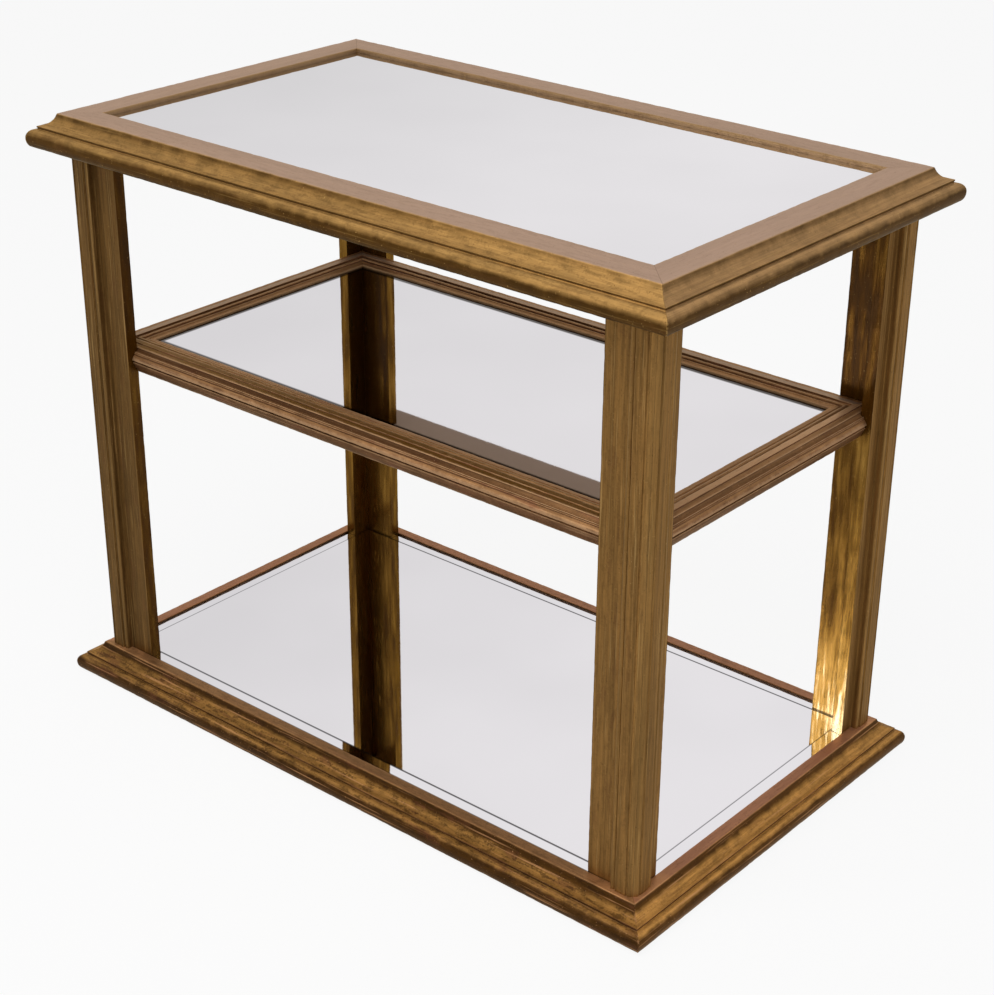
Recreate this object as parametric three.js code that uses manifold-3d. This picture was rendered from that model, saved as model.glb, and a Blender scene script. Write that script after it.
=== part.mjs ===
// Serving table with two tiers and a base, each a pane of mirror glass in mitred gilt wood mouldings.
// Four moulded posts of L section, each made of two mitred boards, carry the top and the middle shelf.
// Millimetres. X runs along the long side, Y from front to back and Z up.
// The origin is on the floor, below the middle of the table.

import * as THREE from 'three';
import { mergeVertices } from 'three/addons/utils/BufferGeometryUtils.js';
import Module from 'manifold-3d';

const wasm = await Module();
wasm.setup();

// Overall sizes
const overallWidth = 745;
const overallDepth = 446;
const overallHeight = 600;

// Fits
const mitreGap = 0.15; // taken off each mitred end, which leaves a hairline at the joint
const fitGap = 0.3; // clearance round a piece that is let into another
const overrun = 4; // how far a cutting solid runs past the surface that it cuts

// Felt pads under the base
const padThickness = 1.5;
const padDiameter = 24;
const padInsetLong = 70; // from the post face at the end of the table to the pad's middle
const padInsetSide = 52;

// Cornice moulding, used right way up on the top and on the base.
// Reaches are measured outward from the outer faces of the posts.
const corniceHeight = 32;
const corniceReach = 26;
const footRound = 4.5; // rounding below the nose, measured across
const noseRound = 7.4; // rounding above the nose, measured across
const noseHeight = 8.7;
const noseRise = 7.4;
const quirkDepth = 2; // from the top of the nose inward
const quirkHeight = 1.3;
const filletProud = 1.1; // from the quirk outward
const filletHeight = 2.8;
const filletTread = 1.2; // top of the fillet, to the foot of the cove
const coveSagitta = 2.6;
const flatReach = 3.4;
const flatEdge = 0.8; // softened outer edge of the flat
const lipEdge = 0.6; // softened inner edge of the flat

// Top frame, board and pane
const topWallCover = 2.2; // wood between a dowel and the wall of the rebate
const topLipWidth = 6.6;
const topLipThickness = 4.3; // of the part of the lip that stands above the pane
const topPaneThickness = 5;
const topBoardThickness = 15;

// Base frame, board and pane
const baseLipInset = 8;
const baseLipWidth = 4.5;
const baseLipThickness = 1.9;
const basePaneThickness = 4;
const bevelInset = 21.2; // from the post face to the line where the bevel starts
const bevelDrop = 1.3;

// Posts
const postBoardThickness = 12;
const postProud = 7.8; // how far the corner moulding stands proud of the plain part
const postLongLeg = 57;
const postSideLeg = 43;
const cornerChamfer = 7;
const cornerGroove = 2.9;
const cornerGrooveDepth = 1.4;
const cornerBand = 11.5;
const fineGroove = 1;
const fineGrooveDepth = 1.1;
const postBead = 4.8;
const postBeadCrown = 0.7; // how far the crown of the bead lies below the band
const postBeadFoot = 2.3; // how far the foot of the bead lies below the band

// Middle shelf, with insets measured inward from the outer faces of the posts
const shelfBottomHeight = 350;
const shelfHeight = 26;
const shelfFootInset = 19;
const shelfBellyInset = 15.7;
const shelfBellyHeight = 3.2;
const shelfReedInset = 10.1;
const shelfReedFootHeight = 10.4;
const shelfReedShoulder = 1.1;
const shelfReedQuirk = 1.5;
const shelfReedTopInset = 17.3;
const shelfReedTopDrop = 5; // below the top of the rail
const shelfReedSagitta = 0.85;
const shelfHollowDrop = 1.3;
const shelfHollowSagitta = 1.3;
const shelfBandEdge = 0.6;
const shelfBandSetback = 0.4; // outer edge of the flat band, behind the posts' inner faces
const shelfBandInset = 34; // inner edge of the flat band
const shelfGroove = 2.2;
const shelfGrooveDepth = 1.7;
const shelfGrooveSagitta = 0.55;
const shelfBead = 4.4;
const shelfBeadRise = 1.1;
const shelfSmallQuirk = 1.4;
const shelfSmallQuirkDepth = 2.7;
const shelfSmallBead = 3.2;
const shelfSmallBeadRise = 0.7;
const shelfLipSlope = 4.8; // from the small bead to the inner edge of the lip
const shelfLipDrop = 3.3;
const shelfLipThickness = 2; // of the part of the lip that stands above the pane
const shelfLipWidth = 6;
const shelfPaneThickness = 4;
const shelfPanelThickness = 6;

// Widths of the three reeds, as shares of the slope that they cover
const reedShares = [0, 0.42, 0.75, 1];

// Radius of a screw's point, as a share of the diameter of its shank
const screwPointShare = 0.25;

// Dowels between posts and top frame
const dowelDiameter = 8;
const dowelLength = 36;
const dowelChamfer = 1;

// Screws up through the base board into the posts
const baseScrewDiameter = 5;
const baseScrewLength = 58;
const baseScrewHead = 9.5;

// Screws through the shelf frame into the posts
const shelfScrewDiameter = 4;
const shelfScrewHead = 7.5;
const shelfScrewCover = 3.9; // wood of the post in front of the screw's tip
const shelfScrewHeight = 5; // above the underside of the shelf
const shelfScrewFromEnd = 6.5; // from the end of the post's long leg

// Loose tongues across the mitres of the top and base frames
const tongueLength = 30;
const tongueWidth = 16;
const tongueThickness = 3;
const topTongueHeight = 13; // above the underside of the frame
const baseTongueHeight = 12;
const topTongueInset = 2; // from the post corner inward along the mitre, on each axis
const baseTongueReach = 5; // from the post corner outward along the mitre, on each axis

// Distances of the fixings from the post corner along each leg
const longLegFixing = 40;
const sideLegFixing = 31;

// Counts of straight pieces in the round stretches
const arcSteps = 6;
const smallArcSteps = 4;
const roundSegments = 16;

const quarterTurn = Math.PI / 2;
const halfTurn = Math.PI;
const samePlace = 0.001; // outline points nearer than this are one point

// Places that follow from the sizes above
const boardMiddle = postProud + postBoardThickness / 2;
const topWallInset = boardMiddle + dowelDiameter / 2 + topWallCover;
const topLipInset = topWallInset + topLipWidth;
const baseWallInset = baseLipInset - baseLipWidth;
const shelfGrooveEnd = shelfBandInset + shelfGroove;
const shelfBeadEnd = shelfGrooveEnd + shelfBead;
const shelfSmallBeadStart = shelfBeadEnd + shelfSmallQuirk;
const shelfSmallBeadEnd = shelfSmallBeadStart + shelfSmallBead;
const shelfLipInset = shelfSmallBeadEnd + shelfLipSlope;
const shelfWallInset = shelfLipInset - shelfLipWidth;
const shelfLipTop = shelfHeight - shelfLipDrop;
const shelfPaneRise = shelfLipTop - shelfLipThickness;
const shelfRebateTop = shelfPaneRise - shelfPaneThickness;
const shelfScrewInset = shelfWallInset - fitGap;
const shelfScrewLength = shelfScrewInset - postProud - shelfScrewCover;
const postFaceX = overallWidth / 2 - corniceReach;
const postFaceY = overallDepth / 2 - corniceReach;
const postThickness = postBoardThickness + postProud;
const baseTop = padThickness + corniceHeight;
const topBottom = overallHeight - corniceHeight;
const basePaneTop = baseTop - baseLipThickness;
const baseBoardTop = basePaneTop - basePaneThickness;
const topRebateDrop = topLipThickness + topPaneThickness;
const topPaneTop = overallHeight - topLipThickness;
const topBoardTop = overallHeight - topRebateDrop;
const shelfPaneTop = shelfBottomHeight + shelfPaneRise;
const shelfPanelTop = shelfBottomHeight + shelfRebateTop;

// Finishes
const gilt = new THREE.MeshStandardMaterial({ color: 0x94703f, roughness: 0.42, metalness: 0.55 });
const giltPost = new THREE.MeshStandardMaterial({ color: 0x7d5d31, roughness: 0.45, metalness: 0.5 });
const giltShelf = new THREE.MeshStandardMaterial({ color: 0x85603c, roughness: 0.45, metalness: 0.5 });
const mirror = new THREE.MeshStandardMaterial({ color: 0xdcdadd, roughness: 0.03, metalness: 1 });
const board = new THREE.MeshStandardMaterial({ color: 0x8d6f4d, roughness: 0.8, metalness: 0 });
const beech = new THREE.MeshStandardMaterial({ color: 0xc49a6c, roughness: 0.7, metalness: 0 });
const steel = new THREE.MeshStandardMaterial({ color: 0x9a958c, roughness: 0.35, metalness: 1 });
const felt = new THREE.MeshStandardMaterial({ color: 0x4a3f36, roughness: 1, metalness: 0 });

const table = new THREE.Group();

// Adds a closed geometry to the table as a named piece.
function addPiece(name, geometry, material) {
  const mesh = new THREE.Mesh(geometry, material);
  mesh.name = name;
  table.add(mesh);
  return mesh;
}

// Point of an outline: outward reach and height, or distance along a leg and depth.
function point(x, y) {
  return new THREE.Vector2(x, y);
}

// Outline without points that repeat the one before.
function withoutRepeats(outline) {
  return outline.filter((p, i) => i === 0 || p.distanceTo(outline[i - 1]) > samePlace);
}

// Points of an elliptic arc between two angles, ends included.
function ellipseArc(centre, radiusX, radiusY, from, to, steps) {
  const points = [];
  for (let i = 0; i <= steps; i += 1) {
    const angle = from + ((to - from) * i) / steps;
    points.push(point(centre.x + radiusX * Math.cos(angle), centre.y + radiusY * Math.sin(angle)));
  }
  return points;
}

// Points of a circular arc from start to end, ends included. It bulges to the left by the sagitta.
function bulge(start, end, sagitta, steps) {
  const chord = end.clone().sub(start);
  const half = chord.length() / 2;
  const along = chord.clone().normalize();
  const left = point(-along.y, along.x);
  const radius = (half * half + sagitta * sagitta) / (2 * Math.abs(sagitta));
  const sweep = 2 * Math.asin(Math.min(1, half / radius));
  const middle = start.clone().add(end).multiplyScalar(0.5);
  const toCentre = Math.sign(sagitta) * (Math.abs(sagitta) - radius);
  const centre = middle.clone().addScaledVector(left, toCentre);
  const points = [];
  for (let i = 0; i <= steps; i += 1) {
    const angle = sweep * (i / steps - 0.5);
    const across = Math.sign(sagitta) * radius * Math.cos(angle);
    const place = centre.clone().addScaledVector(left, across);
    points.push(place.addScaledVector(along, radius * Math.sin(angle)));
  }
  return points;
}

// Turns a closed geometry into a solid that can be cut, without the triangles that have no area.
function solidOf(geometry) {
  const bare = geometry.index ? geometry.toNonIndexed() : geometry.clone();
  bare.deleteAttribute('normal');
  bare.deleteAttribute('uv');
  const merged = mergeVertices(bare);
  const vertProperties = new Float32Array(merged.attributes.position.array);
  const index = merged.index.array;
  const kept = [];
  for (let i = 0; i < index.length; i += 3) {
    const [a, b, c] = [index[i], index[i + 1], index[i + 2]];
    if (a !== b && b !== c && c !== a) {
      kept.push(a, b, c);
    }
  }
  const triVerts = new Uint32Array(kept);
  return new wasm.Manifold(new wasm.Mesh({ numProp: 3, vertProperties, triVerts }));
}

// Turns a solid back into a geometry.
function geometryOf(solid) {
  const mesh = solid.getMesh();
  const geometry = new THREE.BufferGeometry();
  geometry.setAttribute('position', new THREE.BufferAttribute(new Float32Array(mesh.vertProperties), 3));
  geometry.setIndex(new THREE.BufferAttribute(new Uint32Array(mesh.triVerts), 1));
  geometry.computeVertexNormals();
  return geometry;
}

// Cuts a list of geometries out of a geometry.
function cutAway(geometry, cutters) {
  let solid = solidOf(geometry);
  for (const cutter of cutters) {
    solid = solid.subtract(solidOf(cutter));
  }
  return geometryOf(solid);
}

// Box between two corners.
function boxBetween(low, high) {
  const size = high.clone().sub(low);
  const middle = low.clone().add(high).multiplyScalar(0.5);
  const box = new THREE.BoxGeometry(size.x, size.y, size.z);
  box.translate(middle.x, middle.y, middle.z);
  return box;
}

// Turned solid about the Z axis from an outline of radius and height.
function turned(outline) {
  const geometry = new THREE.LatheGeometry(outline, roundSegments);
  geometry.rotateX(quarterTurn);
  return geometry;
}

// Upright cylinder with its foot at a height.
function uprightCylinder(diameter, x, y, low, high) {
  const radius = diameter / 2;
  const geometry = turned([point(0, low), point(radius, low), point(radius, high), point(0, high)]);
  geometry.translate(x, y, 0);
  return geometry;
}

// Outline of the cornice section, as outward reach and height above its underside.
// The rebate drop is from the top of the section down to the underside of its lip.
function corniceOutline(lipInset, rebateDrop, wallInset) {
  const footMiddle = point(corniceReach - footRound, noseHeight);
  const noseMiddle = point(corniceReach - noseRound, noseHeight);
  const footArc = ellipseArc(footMiddle, footRound, noseHeight, -quarterTurn, 0, arcSteps);
  const noseArc = ellipseArc(noseMiddle, noseRound, noseRise, 0, quarterTurn, arcSteps);
  const quirkReach = noseMiddle.x - quirkDepth;
  const filletReach = quirkReach + filletProud;
  const quirkFoot = noseHeight + noseRise;
  const filletFoot = quirkFoot + quirkHeight;
  const filletTop = filletFoot + filletHeight;
  const coveStart = point(filletReach - filletTread, filletTop);
  const coveEnd = point(flatReach + flatEdge, corniceHeight - flatEdge);
  return [
    point(-wallInset, 0),
    ...footArc,
    ...noseArc.slice(1),
    point(quirkReach, quirkFoot),
    point(quirkReach, filletFoot),
    point(filletReach, filletFoot),
    point(filletReach, filletTop),
    ...bulge(coveStart, coveEnd, coveSagitta, arcSteps),
    point(flatReach, corniceHeight),
    point(lipEdge - lipInset, corniceHeight),
    point(-lipInset, corniceHeight - lipEdge),
    point(-lipInset, corniceHeight - rebateDrop),
    point(-wallInset, corniceHeight - rebateDrop),
  ];
}

// Outline of the shelf rail section: reeded outer face, flat band, beads and the lip round the pane.
function shelfOutline() {
  const bandReach = -(postThickness + fitGap + shelfBandSetback);
  const shoulderHeight = shelfReedFootHeight + shelfReedShoulder;
  const hollowHeight = shelfHeight - shelfHollowDrop;
  const reedFoot = point(-shelfReedInset - shelfReedQuirk, shoulderHeight + shelfReedQuirk);
  const reedTop = point(-shelfReedTopInset, shelfHeight - shelfReedTopDrop);
  const slope = reedTop.clone().sub(reedFoot);
  const reeds = [];
  for (let i = 1; i < reedShares.length; i += 1) {
    const start = reedFoot.clone().addScaledVector(slope, reedShares[i - 1]);
    const end = reedFoot.clone().addScaledVector(slope, reedShares[i]);
    reeds.push(...bulge(start, end, -shelfReedSagitta, smallArcSteps));
  }
  const hollowEnd = point(bandReach - shelfBandEdge, hollowHeight);
  const hollow = bulge(reedTop, hollowEnd, shelfHollowSagitta, smallArcSteps);
  const grooveFloor = shelfHeight - shelfGrooveDepth;
  const grooveStart = point(-shelfBandInset, grooveFloor);
  const beadStart = point(-shelfGrooveEnd, grooveFloor);
  const beadEnd = point(-shelfBeadEnd, grooveFloor);
  const quirkFloor = shelfHeight - shelfSmallQuirkDepth;
  const smallBeadStart = point(-shelfSmallBeadStart, quirkFloor);
  const smallBeadEnd = point(-shelfSmallBeadEnd, quirkFloor);
  return [
    point(-shelfWallInset, 0),
    point(-shelfFootInset, 0),
    point(-shelfBellyInset, shelfBellyHeight),
    point(-shelfReedInset, shelfReedFootHeight),
    point(-shelfReedInset, shoulderHeight),
    ...reeds,
    ...hollow.slice(1),
    point(bandReach, hollowHeight),
    point(bandReach, shelfHeight - shelfBandEdge),
    point(bandReach - shelfBandEdge, shelfHeight),
    point(-shelfBandInset, shelfHeight),
    ...bulge(grooveStart, beadStart, shelfGrooveSagitta, smallArcSteps),
    ...bulge(beadStart, beadEnd, -shelfBeadRise, smallArcSteps).slice(1),
    point(-shelfBeadEnd, quirkFloor),
    ...bulge(smallBeadStart, smallBeadEnd, -shelfSmallBeadRise, smallArcSteps),
    point(lipEdge - shelfLipInset, shelfLipTop),
    point(-shelfLipInset, shelfLipTop - lipEdge),
    point(-shelfLipInset, shelfRebateTop),
    point(-shelfWallInset, shelfRebateTop),
  ];
}

// Rail along X at the front, with both ends mitred: where the section reaches out, the rail is longer.
function mitredRail(outline, halfLength, halfDepth, bottom) {
  const count = outline.length;
  const positions = [];
  for (const side of [-1, 1]) {
    for (const corner of outline) {
      const x = side * (halfLength + corner.x - mitreGap);
      positions.push(x, -(halfDepth + corner.x), bottom + corner.y);
    }
  }
  const indices = [];
  for (let i = 0; i < count; i += 1) {
    const next = (i + 1) % count;
    indices.push(i, count + i, count + next, i, count + next, next);
  }
  for (const [a, b, c] of THREE.ShapeUtils.triangulateShape(outline, [])) {
    indices.push(a, b, c);
    indices.push(count + a, count + c, count + b);
  }
  const geometry = new THREE.BufferGeometry();
  geometry.setAttribute('position', new THREE.Float32BufferAttribute(positions, 3));
  geometry.setIndex(indices);
  return outwardFacing(geometry);
}

// Turns the faces round if the volume comes out negative.
function outwardFacing(geometry) {
  const position = geometry.attributes.position;
  const index = geometry.index.array;
  const [a, b, c] = [new THREE.Vector3(), new THREE.Vector3(), new THREE.Vector3()];
  let volume = 0;
  for (let i = 0; i < index.length; i += 3) {
    a.fromBufferAttribute(position, index[i]);
    b.fromBufferAttribute(position, index[i + 1]);
    c.fromBufferAttribute(position, index[i + 2]);
    volume += a.dot(b.cross(c));
  }
  if (volume < 0) {
    for (let i = 0; i < index.length; i += 3) {
      [index[i + 1], index[i + 2]] = [index[i + 2], index[i + 1]];
    }
  }
  return geometry;
}

// The four sides of a frame: name, turn about Z and which half sizes the rail follows.
const sides = [
  { name: 'front', turn: 0, halfLength: postFaceX, halfDepth: postFaceY },
  { name: 'right', turn: quarterTurn, halfLength: postFaceY, halfDepth: postFaceX },
  { name: 'back', turn: halfTurn, halfLength: postFaceX, halfDepth: postFaceY },
  { name: 'left', turn: -quarterTurn, halfLength: postFaceY, halfDepth: postFaceX },
];

// The four corners of the table.
const corners = [
  { name: 'front_left', signX: -1, signY: -1 },
  { name: 'front_right', signX: 1, signY: -1 },
  { name: 'back_left', signX: -1, signY: 1 },
  { name: 'back_right', signX: 1, signY: 1 },
];

// The two legs of a post: one along the long side of the table and one along its short side.
const legs = ['long', 'side'];

// Place inside a corner, from the distances in from the two outer post faces.
function cornerPlace(corner, insetX, insetY) {
  return point(corner.signX * (postFaceX - insetX), corner.signY * (postFaceY - insetY));
}

// Loose tongue that lies flat across a mitre, grown by a clearance on every side.
function tongueSolid(corner, inset, height, growth) {
  const place = cornerPlace(corner, inset, inset);
  const geometry = new THREE.BoxGeometry(
    tongueLength + 2 * growth,
    tongueWidth + 2 * growth,
    tongueThickness + 2 * growth,
  );
  geometry.rotateZ(corner.signX * corner.signY * -quarterTurn / 2);
  geometry.translate(place.x, place.y, height);
  return geometry;
}

// Outline of a post leg, as distance from the outer corner and depth from the outer face.
function legOutline(length) {
  const chamferMiddle = cornerChamfer / 2;
  const grooveEnd = cornerChamfer + cornerGroove;
  const bandEnd = grooveEnd + cornerBand;
  const beadStart = bandEnd + fineGroove;
  const beadEnd = beadStart + postBead;
  const beadMiddle = point((beadStart + beadEnd) / 2, postBeadFoot);
  const beadRise = postBeadFoot - postBeadCrown;
  return [
    point(chamferMiddle + mitreGap, chamferMiddle - mitreGap),
    ...bulge(point(cornerChamfer, 0), point(grooveEnd, 0), cornerGrooveDepth, smallArcSteps),
    point(bandEnd, 0),
    point(bandEnd, fineGrooveDepth),
    ...ellipseArc(beadMiddle, postBead / 2, beadRise, halfTurn, 2 * halfTurn, arcSteps),
    point(beadEnd, postProud),
    point(length, postProud),
    point(length, postThickness),
    point(postThickness + mitreGap, postThickness - mitreGap),
  ];
}

// Length of a leg from the outer corner.
function legLength(leg) {
  return leg === 'long' ? postLongLeg : postSideLeg;
}

// Place in a leg, from the distance along it and the depth behind its outer face.
function legPlace(corner, leg, distance, depth) {
  return leg === 'long' ? cornerPlace(corner, distance, depth) : cornerPlace(corner, depth, distance);
}

// Middle of the fixing in a post board.
function fixingPlace(corner, leg) {
  return legPlace(corner, leg, leg === 'long' ? longLegFixing : sideLegFixing, boardMiddle);
}

// Plan of a post board in the table's own axes.
function boardPlan(corner, leg) {
  const outline = withoutRepeats(legOutline(legLength(leg)));
  return outline.map((p) => legPlace(corner, leg, p.x, p.y));
}

// Solid round a post leg over a range of heights, from an inset to behind the leg with a clearance.
function legEnvelope(corner, leg, nearInset, low, high) {
  const first = legPlace(corner, leg, 0, nearInset);
  const second = legPlace(corner, leg, legLength(leg) + fitGap, postThickness + fitGap);
  const lowCorner = new THREE.Vector3(Math.min(first.x, second.x), Math.min(first.y, second.y), low);
  const highCorner = new THREE.Vector3(Math.max(first.x, second.x), Math.max(first.y, second.y), high);
  return boxBetween(lowCorner, highCorner);
}

// Both envelopes of every post.
function postEnvelopes(nearInset, low, high) {
  const envelopes = [];
  for (const corner of corners) {
    for (const leg of legs) {
      envelopes.push(legEnvelope(corner, leg, nearInset, low, high));
    }
  }
  return envelopes;
}

// Outline of a countersunk screw, from its head's face at height zero up to its point.
function screwOutline(diameter, length, head) {
  const radius = diameter / 2;
  const headRadius = head / 2;
  return [
    point(0, 0),
    point(headRadius, 0),
    point(radius, headRadius - radius),
    point(radius, length - diameter),
    point(diameter * screwPointShare, length),
    point(0, length),
  ];
}

// Outline of the hole for such a screw, open below the head.
function screwHoleOutline(diameter, length, head) {
  const radius = diameter / 2 + fitGap;
  const headRadius = head / 2 + fitGap;
  return [
    point(0, -overrun),
    point(headRadius, -overrun),
    point(headRadius, 0),
    point(radius, headRadius - radius),
    point(radius, length + fitGap),
    point(0, length + fitGap),
  ];
}

// Solid that stands upright below a post board, from just inside the underside of the base board.
function placedBelowPost(corner, leg, outline) {
  const place = fixingPlace(corner, leg);
  const geometry = turned(outline);
  geometry.translate(place.x, place.y, padThickness + fitGap);
  return geometry;
}

// Solid that lies across the shelf rail and points into the long leg of the post.
function placedAcrossShelf(corner, outline) {
  const place = cornerPlace(corner, postLongLeg - shelfScrewFromEnd, shelfScrewInset);
  const geometry = turned(outline);
  geometry.rotateX(-corner.signY * quarterTurn);
  geometry.translate(place.x, place.y, shelfBottomHeight + shelfScrewHeight);
  return geometry;
}

// Screw up into a post board, and the hole for it.
function baseScrew(corner, leg) {
  return placedBelowPost(corner, leg, screwOutline(baseScrewDiameter, baseScrewLength, baseScrewHead));
}

function baseScrewHole(corner, leg) {
  return placedBelowPost(corner, leg, screwHoleOutline(baseScrewDiameter, baseScrewLength, baseScrewHead));
}

// Screw from the shelf frame into a post, and the hole for it.
function shelfScrew(corner) {
  return placedAcrossShelf(corner, screwOutline(shelfScrewDiameter, shelfScrewLength, shelfScrewHead));
}

function shelfScrewHole(corner) {
  return placedAcrossShelf(corner, screwHoleOutline(shelfScrewDiameter, shelfScrewLength, shelfScrewHead));
}

// Dowel between a post board and the top frame, with chamfered ends.
function dowel(corner, leg, growth) {
  const place = fixingPlace(corner, leg);
  const radius = dowelDiameter / 2 + growth;
  const low = topBottom - dowelLength / 2 - growth;
  const high = topBottom + dowelLength / 2 + growth;
  const geometry = turned([
    point(0, low),
    point(radius - dowelChamfer, low),
    point(radius, low + dowelChamfer),
    point(radius, high - dowelChamfer),
    point(radius - dowelChamfer, high),
    point(0, high),
  ]);
  geometry.translate(place.x, place.y, 0);
  return geometry;
}

// Rail of a frame turned to its side of the table.
function railOnSide(outline, side, bottom) {
  const rail = mitredRail(outline, side.halfLength, side.halfDepth, bottom);
  rail.rotateZ(side.turn);
  return rail;
}

// Top frame: four cornice rails with tongue slots and dowel holes.
function buildTopFrame() {
  const outline = withoutRepeats(corniceOutline(topLipInset, topRebateDrop, topWallInset));
  const cutters = [];
  for (const corner of corners) {
    cutters.push(tongueSolid(corner, topTongueInset, topBottom + topTongueHeight, fitGap));
    for (const leg of legs) {
      cutters.push(dowel(corner, leg, fitGap));
    }
  }
  for (const side of sides) {
    const rail = railOnSide(outline, side, topBottom);
    addPiece(`top_rail_${side.name}`, cutAway(rail, cutters), gilt);
  }
}

// Base frame: four cornice rails with tongue slots.
function buildBaseFrame() {
  const outline = withoutRepeats(corniceOutline(baseLipInset, baseLipThickness, baseWallInset));
  const slots = [];
  for (const corner of corners) {
    slots.push(tongueSolid(corner, -baseTongueReach, padThickness + baseTongueHeight, fitGap));
  }
  for (const side of sides) {
    const rail = railOnSide(outline, side, padThickness);
    addPiece(`base_rail_${side.name}`, cutAway(rail, slots), gilt);
  }
}

// Shelf frame: four reeded rails cut round the posts, with screw holes.
function buildShelfFrame() {
  const outline = withoutRepeats(shelfOutline());
  const high = shelfBottomHeight + shelfHeight;
  const cutters = postEnvelopes(postProud - fitGap, shelfBottomHeight - overrun, high + overrun);
  for (const corner of corners) {
    cutters.push(shelfScrewHole(corner));
  }
  for (const side of sides) {
    const rail = railOnSide(outline, side, shelfBottomHeight);
    addPiece(`shelf_rail_${side.name}`, cutAway(rail, cutters), giltShelf);
  }
}

// Boxes that cut the seat where the outer part of each post stands on the base frame.
function postSeats() {
  const seatInset = baseLipInset + fitGap;
  const outer = new THREE.Vector2(postFaceX + overrun, postFaceY + overrun);
  const seat = new THREE.Vector2(postFaceX - seatInset, postFaceY - seatInset);
  const low = baseBoardTop - overrun;
  return [
    boxBetween(new THREE.Vector3(-outer.x, -outer.y, low), new THREE.Vector3(-seat.x, outer.y, baseTop)),
    boxBetween(new THREE.Vector3(seat.x, -outer.y, low), new THREE.Vector3(outer.x, outer.y, baseTop)),
    boxBetween(new THREE.Vector3(-outer.x, -outer.y, low), new THREE.Vector3(outer.x, -seat.y, baseTop)),
    boxBetween(new THREE.Vector3(-outer.x, seat.y, low), new THREE.Vector3(outer.x, outer.y, baseTop)),
  ];
}

// Posts: each board runs from the base board to the top frame, and its moulding stands on the base frame.
function buildPosts() {
  const cutters = postSeats();
  for (const corner of corners) {
    cutters.push(shelfScrewHole(corner));
    for (const leg of legs) {
      cutters.push(dowel(corner, leg, fitGap));
      cutters.push(baseScrewHole(corner, leg));
    }
  }
  const height = topBottom - baseBoardTop;
  for (const corner of corners) {
    for (const leg of legs) {
      const shape = new THREE.Shape(boardPlan(corner, leg));
      const blank = new THREE.ExtrudeGeometry(shape, { depth: height, bevelEnabled: false });
      blank.translate(0, 0, baseBoardTop);
      addPiece(`post_${corner.name}_${leg}_board`, cutAway(blank, cutters), giltPost);
    }
  }
}

// Flat panel inside a frame.
function framedPanel(wallInset, low, high) {
  const halfX = postFaceX - wallInset - fitGap;
  const halfY = postFaceY - wallInset - fitGap;
  return boxBetween(new THREE.Vector3(-halfX, -halfY, low), new THREE.Vector3(halfX, halfY, high));
}

// Bevelled pane: full thickness inside the bevel line and thinner toward its edge.
function bevelledPane(wallInset, low, high) {
  const halfX = postFaceX - wallInset - fitGap;
  const halfY = postFaceY - wallInset - fitGap;
  const bevel = bevelInset - wallInset - fitGap;
  const positions = [];
  const levels = [
    [halfX, halfY, low],
    [halfX, halfY, high - bevelDrop],
    [halfX - bevel, halfY - bevel, high],
  ];
  for (const [x, y, z] of levels) {
    positions.push(-x, -y, z, x, -y, z, x, y, z, -x, y, z);
  }
  const indices = [0, 2, 1, 0, 3, 2];
  for (let level = 0; level < levels.length - 1; level += 1) {
    for (let i = 0; i < 4; i += 1) {
      const next = (i + 1) % 4;
      const lower = 4 * level;
      const upper = lower + 4;
      indices.push(lower + i, lower + next, upper + next, lower + i, upper + next, upper + i);
    }
  }
  const last = 4 * (levels.length - 1);
  indices.push(last, last + 1, last + 2, last, last + 2, last + 3);
  const geometry = new THREE.BufferGeometry();
  geometry.setAttribute('position', new THREE.Float32BufferAttribute(positions, 3));
  geometry.setIndex(indices);
  return outwardFacing(geometry);
}

// Top: board in the rebate below the lip, and plain pane laid on it from above, inside the lip.
function buildTopPanels() {
  const boardLow = topBoardTop - topBoardThickness;
  addPiece('top_board', framedPanel(topWallInset, boardLow, topBoardTop), board);
  addPiece('top_mirror', framedPanel(topLipInset, topBoardTop, topPaneTop), mirror);
}

// Shelf: panel in the rebate below the lip, and plain pane laid on it from above, inside the lip.
function buildShelfPanels() {
  const panelLow = shelfPanelTop - shelfPanelThickness;
  addPiece('shelf_panel', framedPanel(shelfWallInset, panelLow, shelfPanelTop), board);
  addPiece('shelf_mirror', framedPanel(shelfLipInset, shelfPanelTop, shelfPaneTop), mirror);
}

// Base: board drilled for the post screws and bevelled pane notched round the posts.
function buildBasePanels() {
  const holes = corners.flatMap((corner) => legs.map((leg) => baseScrewHole(corner, leg)));
  const baseBoard = cutAway(framedPanel(baseWallInset, padThickness, baseBoardTop), holes);
  addPiece('base_board', baseBoard, board);
  const notches = postEnvelopes(0, baseBoardTop - overrun, basePaneTop + overrun);
  addPiece('base_mirror', cutAway(bevelledPane(baseWallInset, baseBoardTop, basePaneTop), notches), mirror);
}

// Small parts: pads, dowels, screws and tongues.
function buildFixings() {
  for (const corner of corners) {
    const pad = cornerPlace(corner, padInsetLong, padInsetSide);
    addPiece(`felt_pad_${corner.name}`, uprightCylinder(padDiameter, pad.x, pad.y, 0, padThickness), felt);
    addPiece(`shelf_screw_${corner.name}`, shelfScrew(corner), steel);
    for (const leg of legs) {
      addPiece(`post_dowel_${corner.name}_${leg}`, dowel(corner, leg, 0), beech);
      addPiece(`base_screw_${corner.name}_${leg}`, baseScrew(corner, leg), steel);
    }
    const topTongue = tongueSolid(corner, topTongueInset, topBottom + topTongueHeight, 0);
    addPiece(`top_tongue_${corner.name}`, topTongue, beech);
    const baseTongue = tongueSolid(corner, -baseTongueReach, padThickness + baseTongueHeight, 0);
    addPiece(`base_tongue_${corner.name}`, baseTongue, beech);
  }
}

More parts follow.
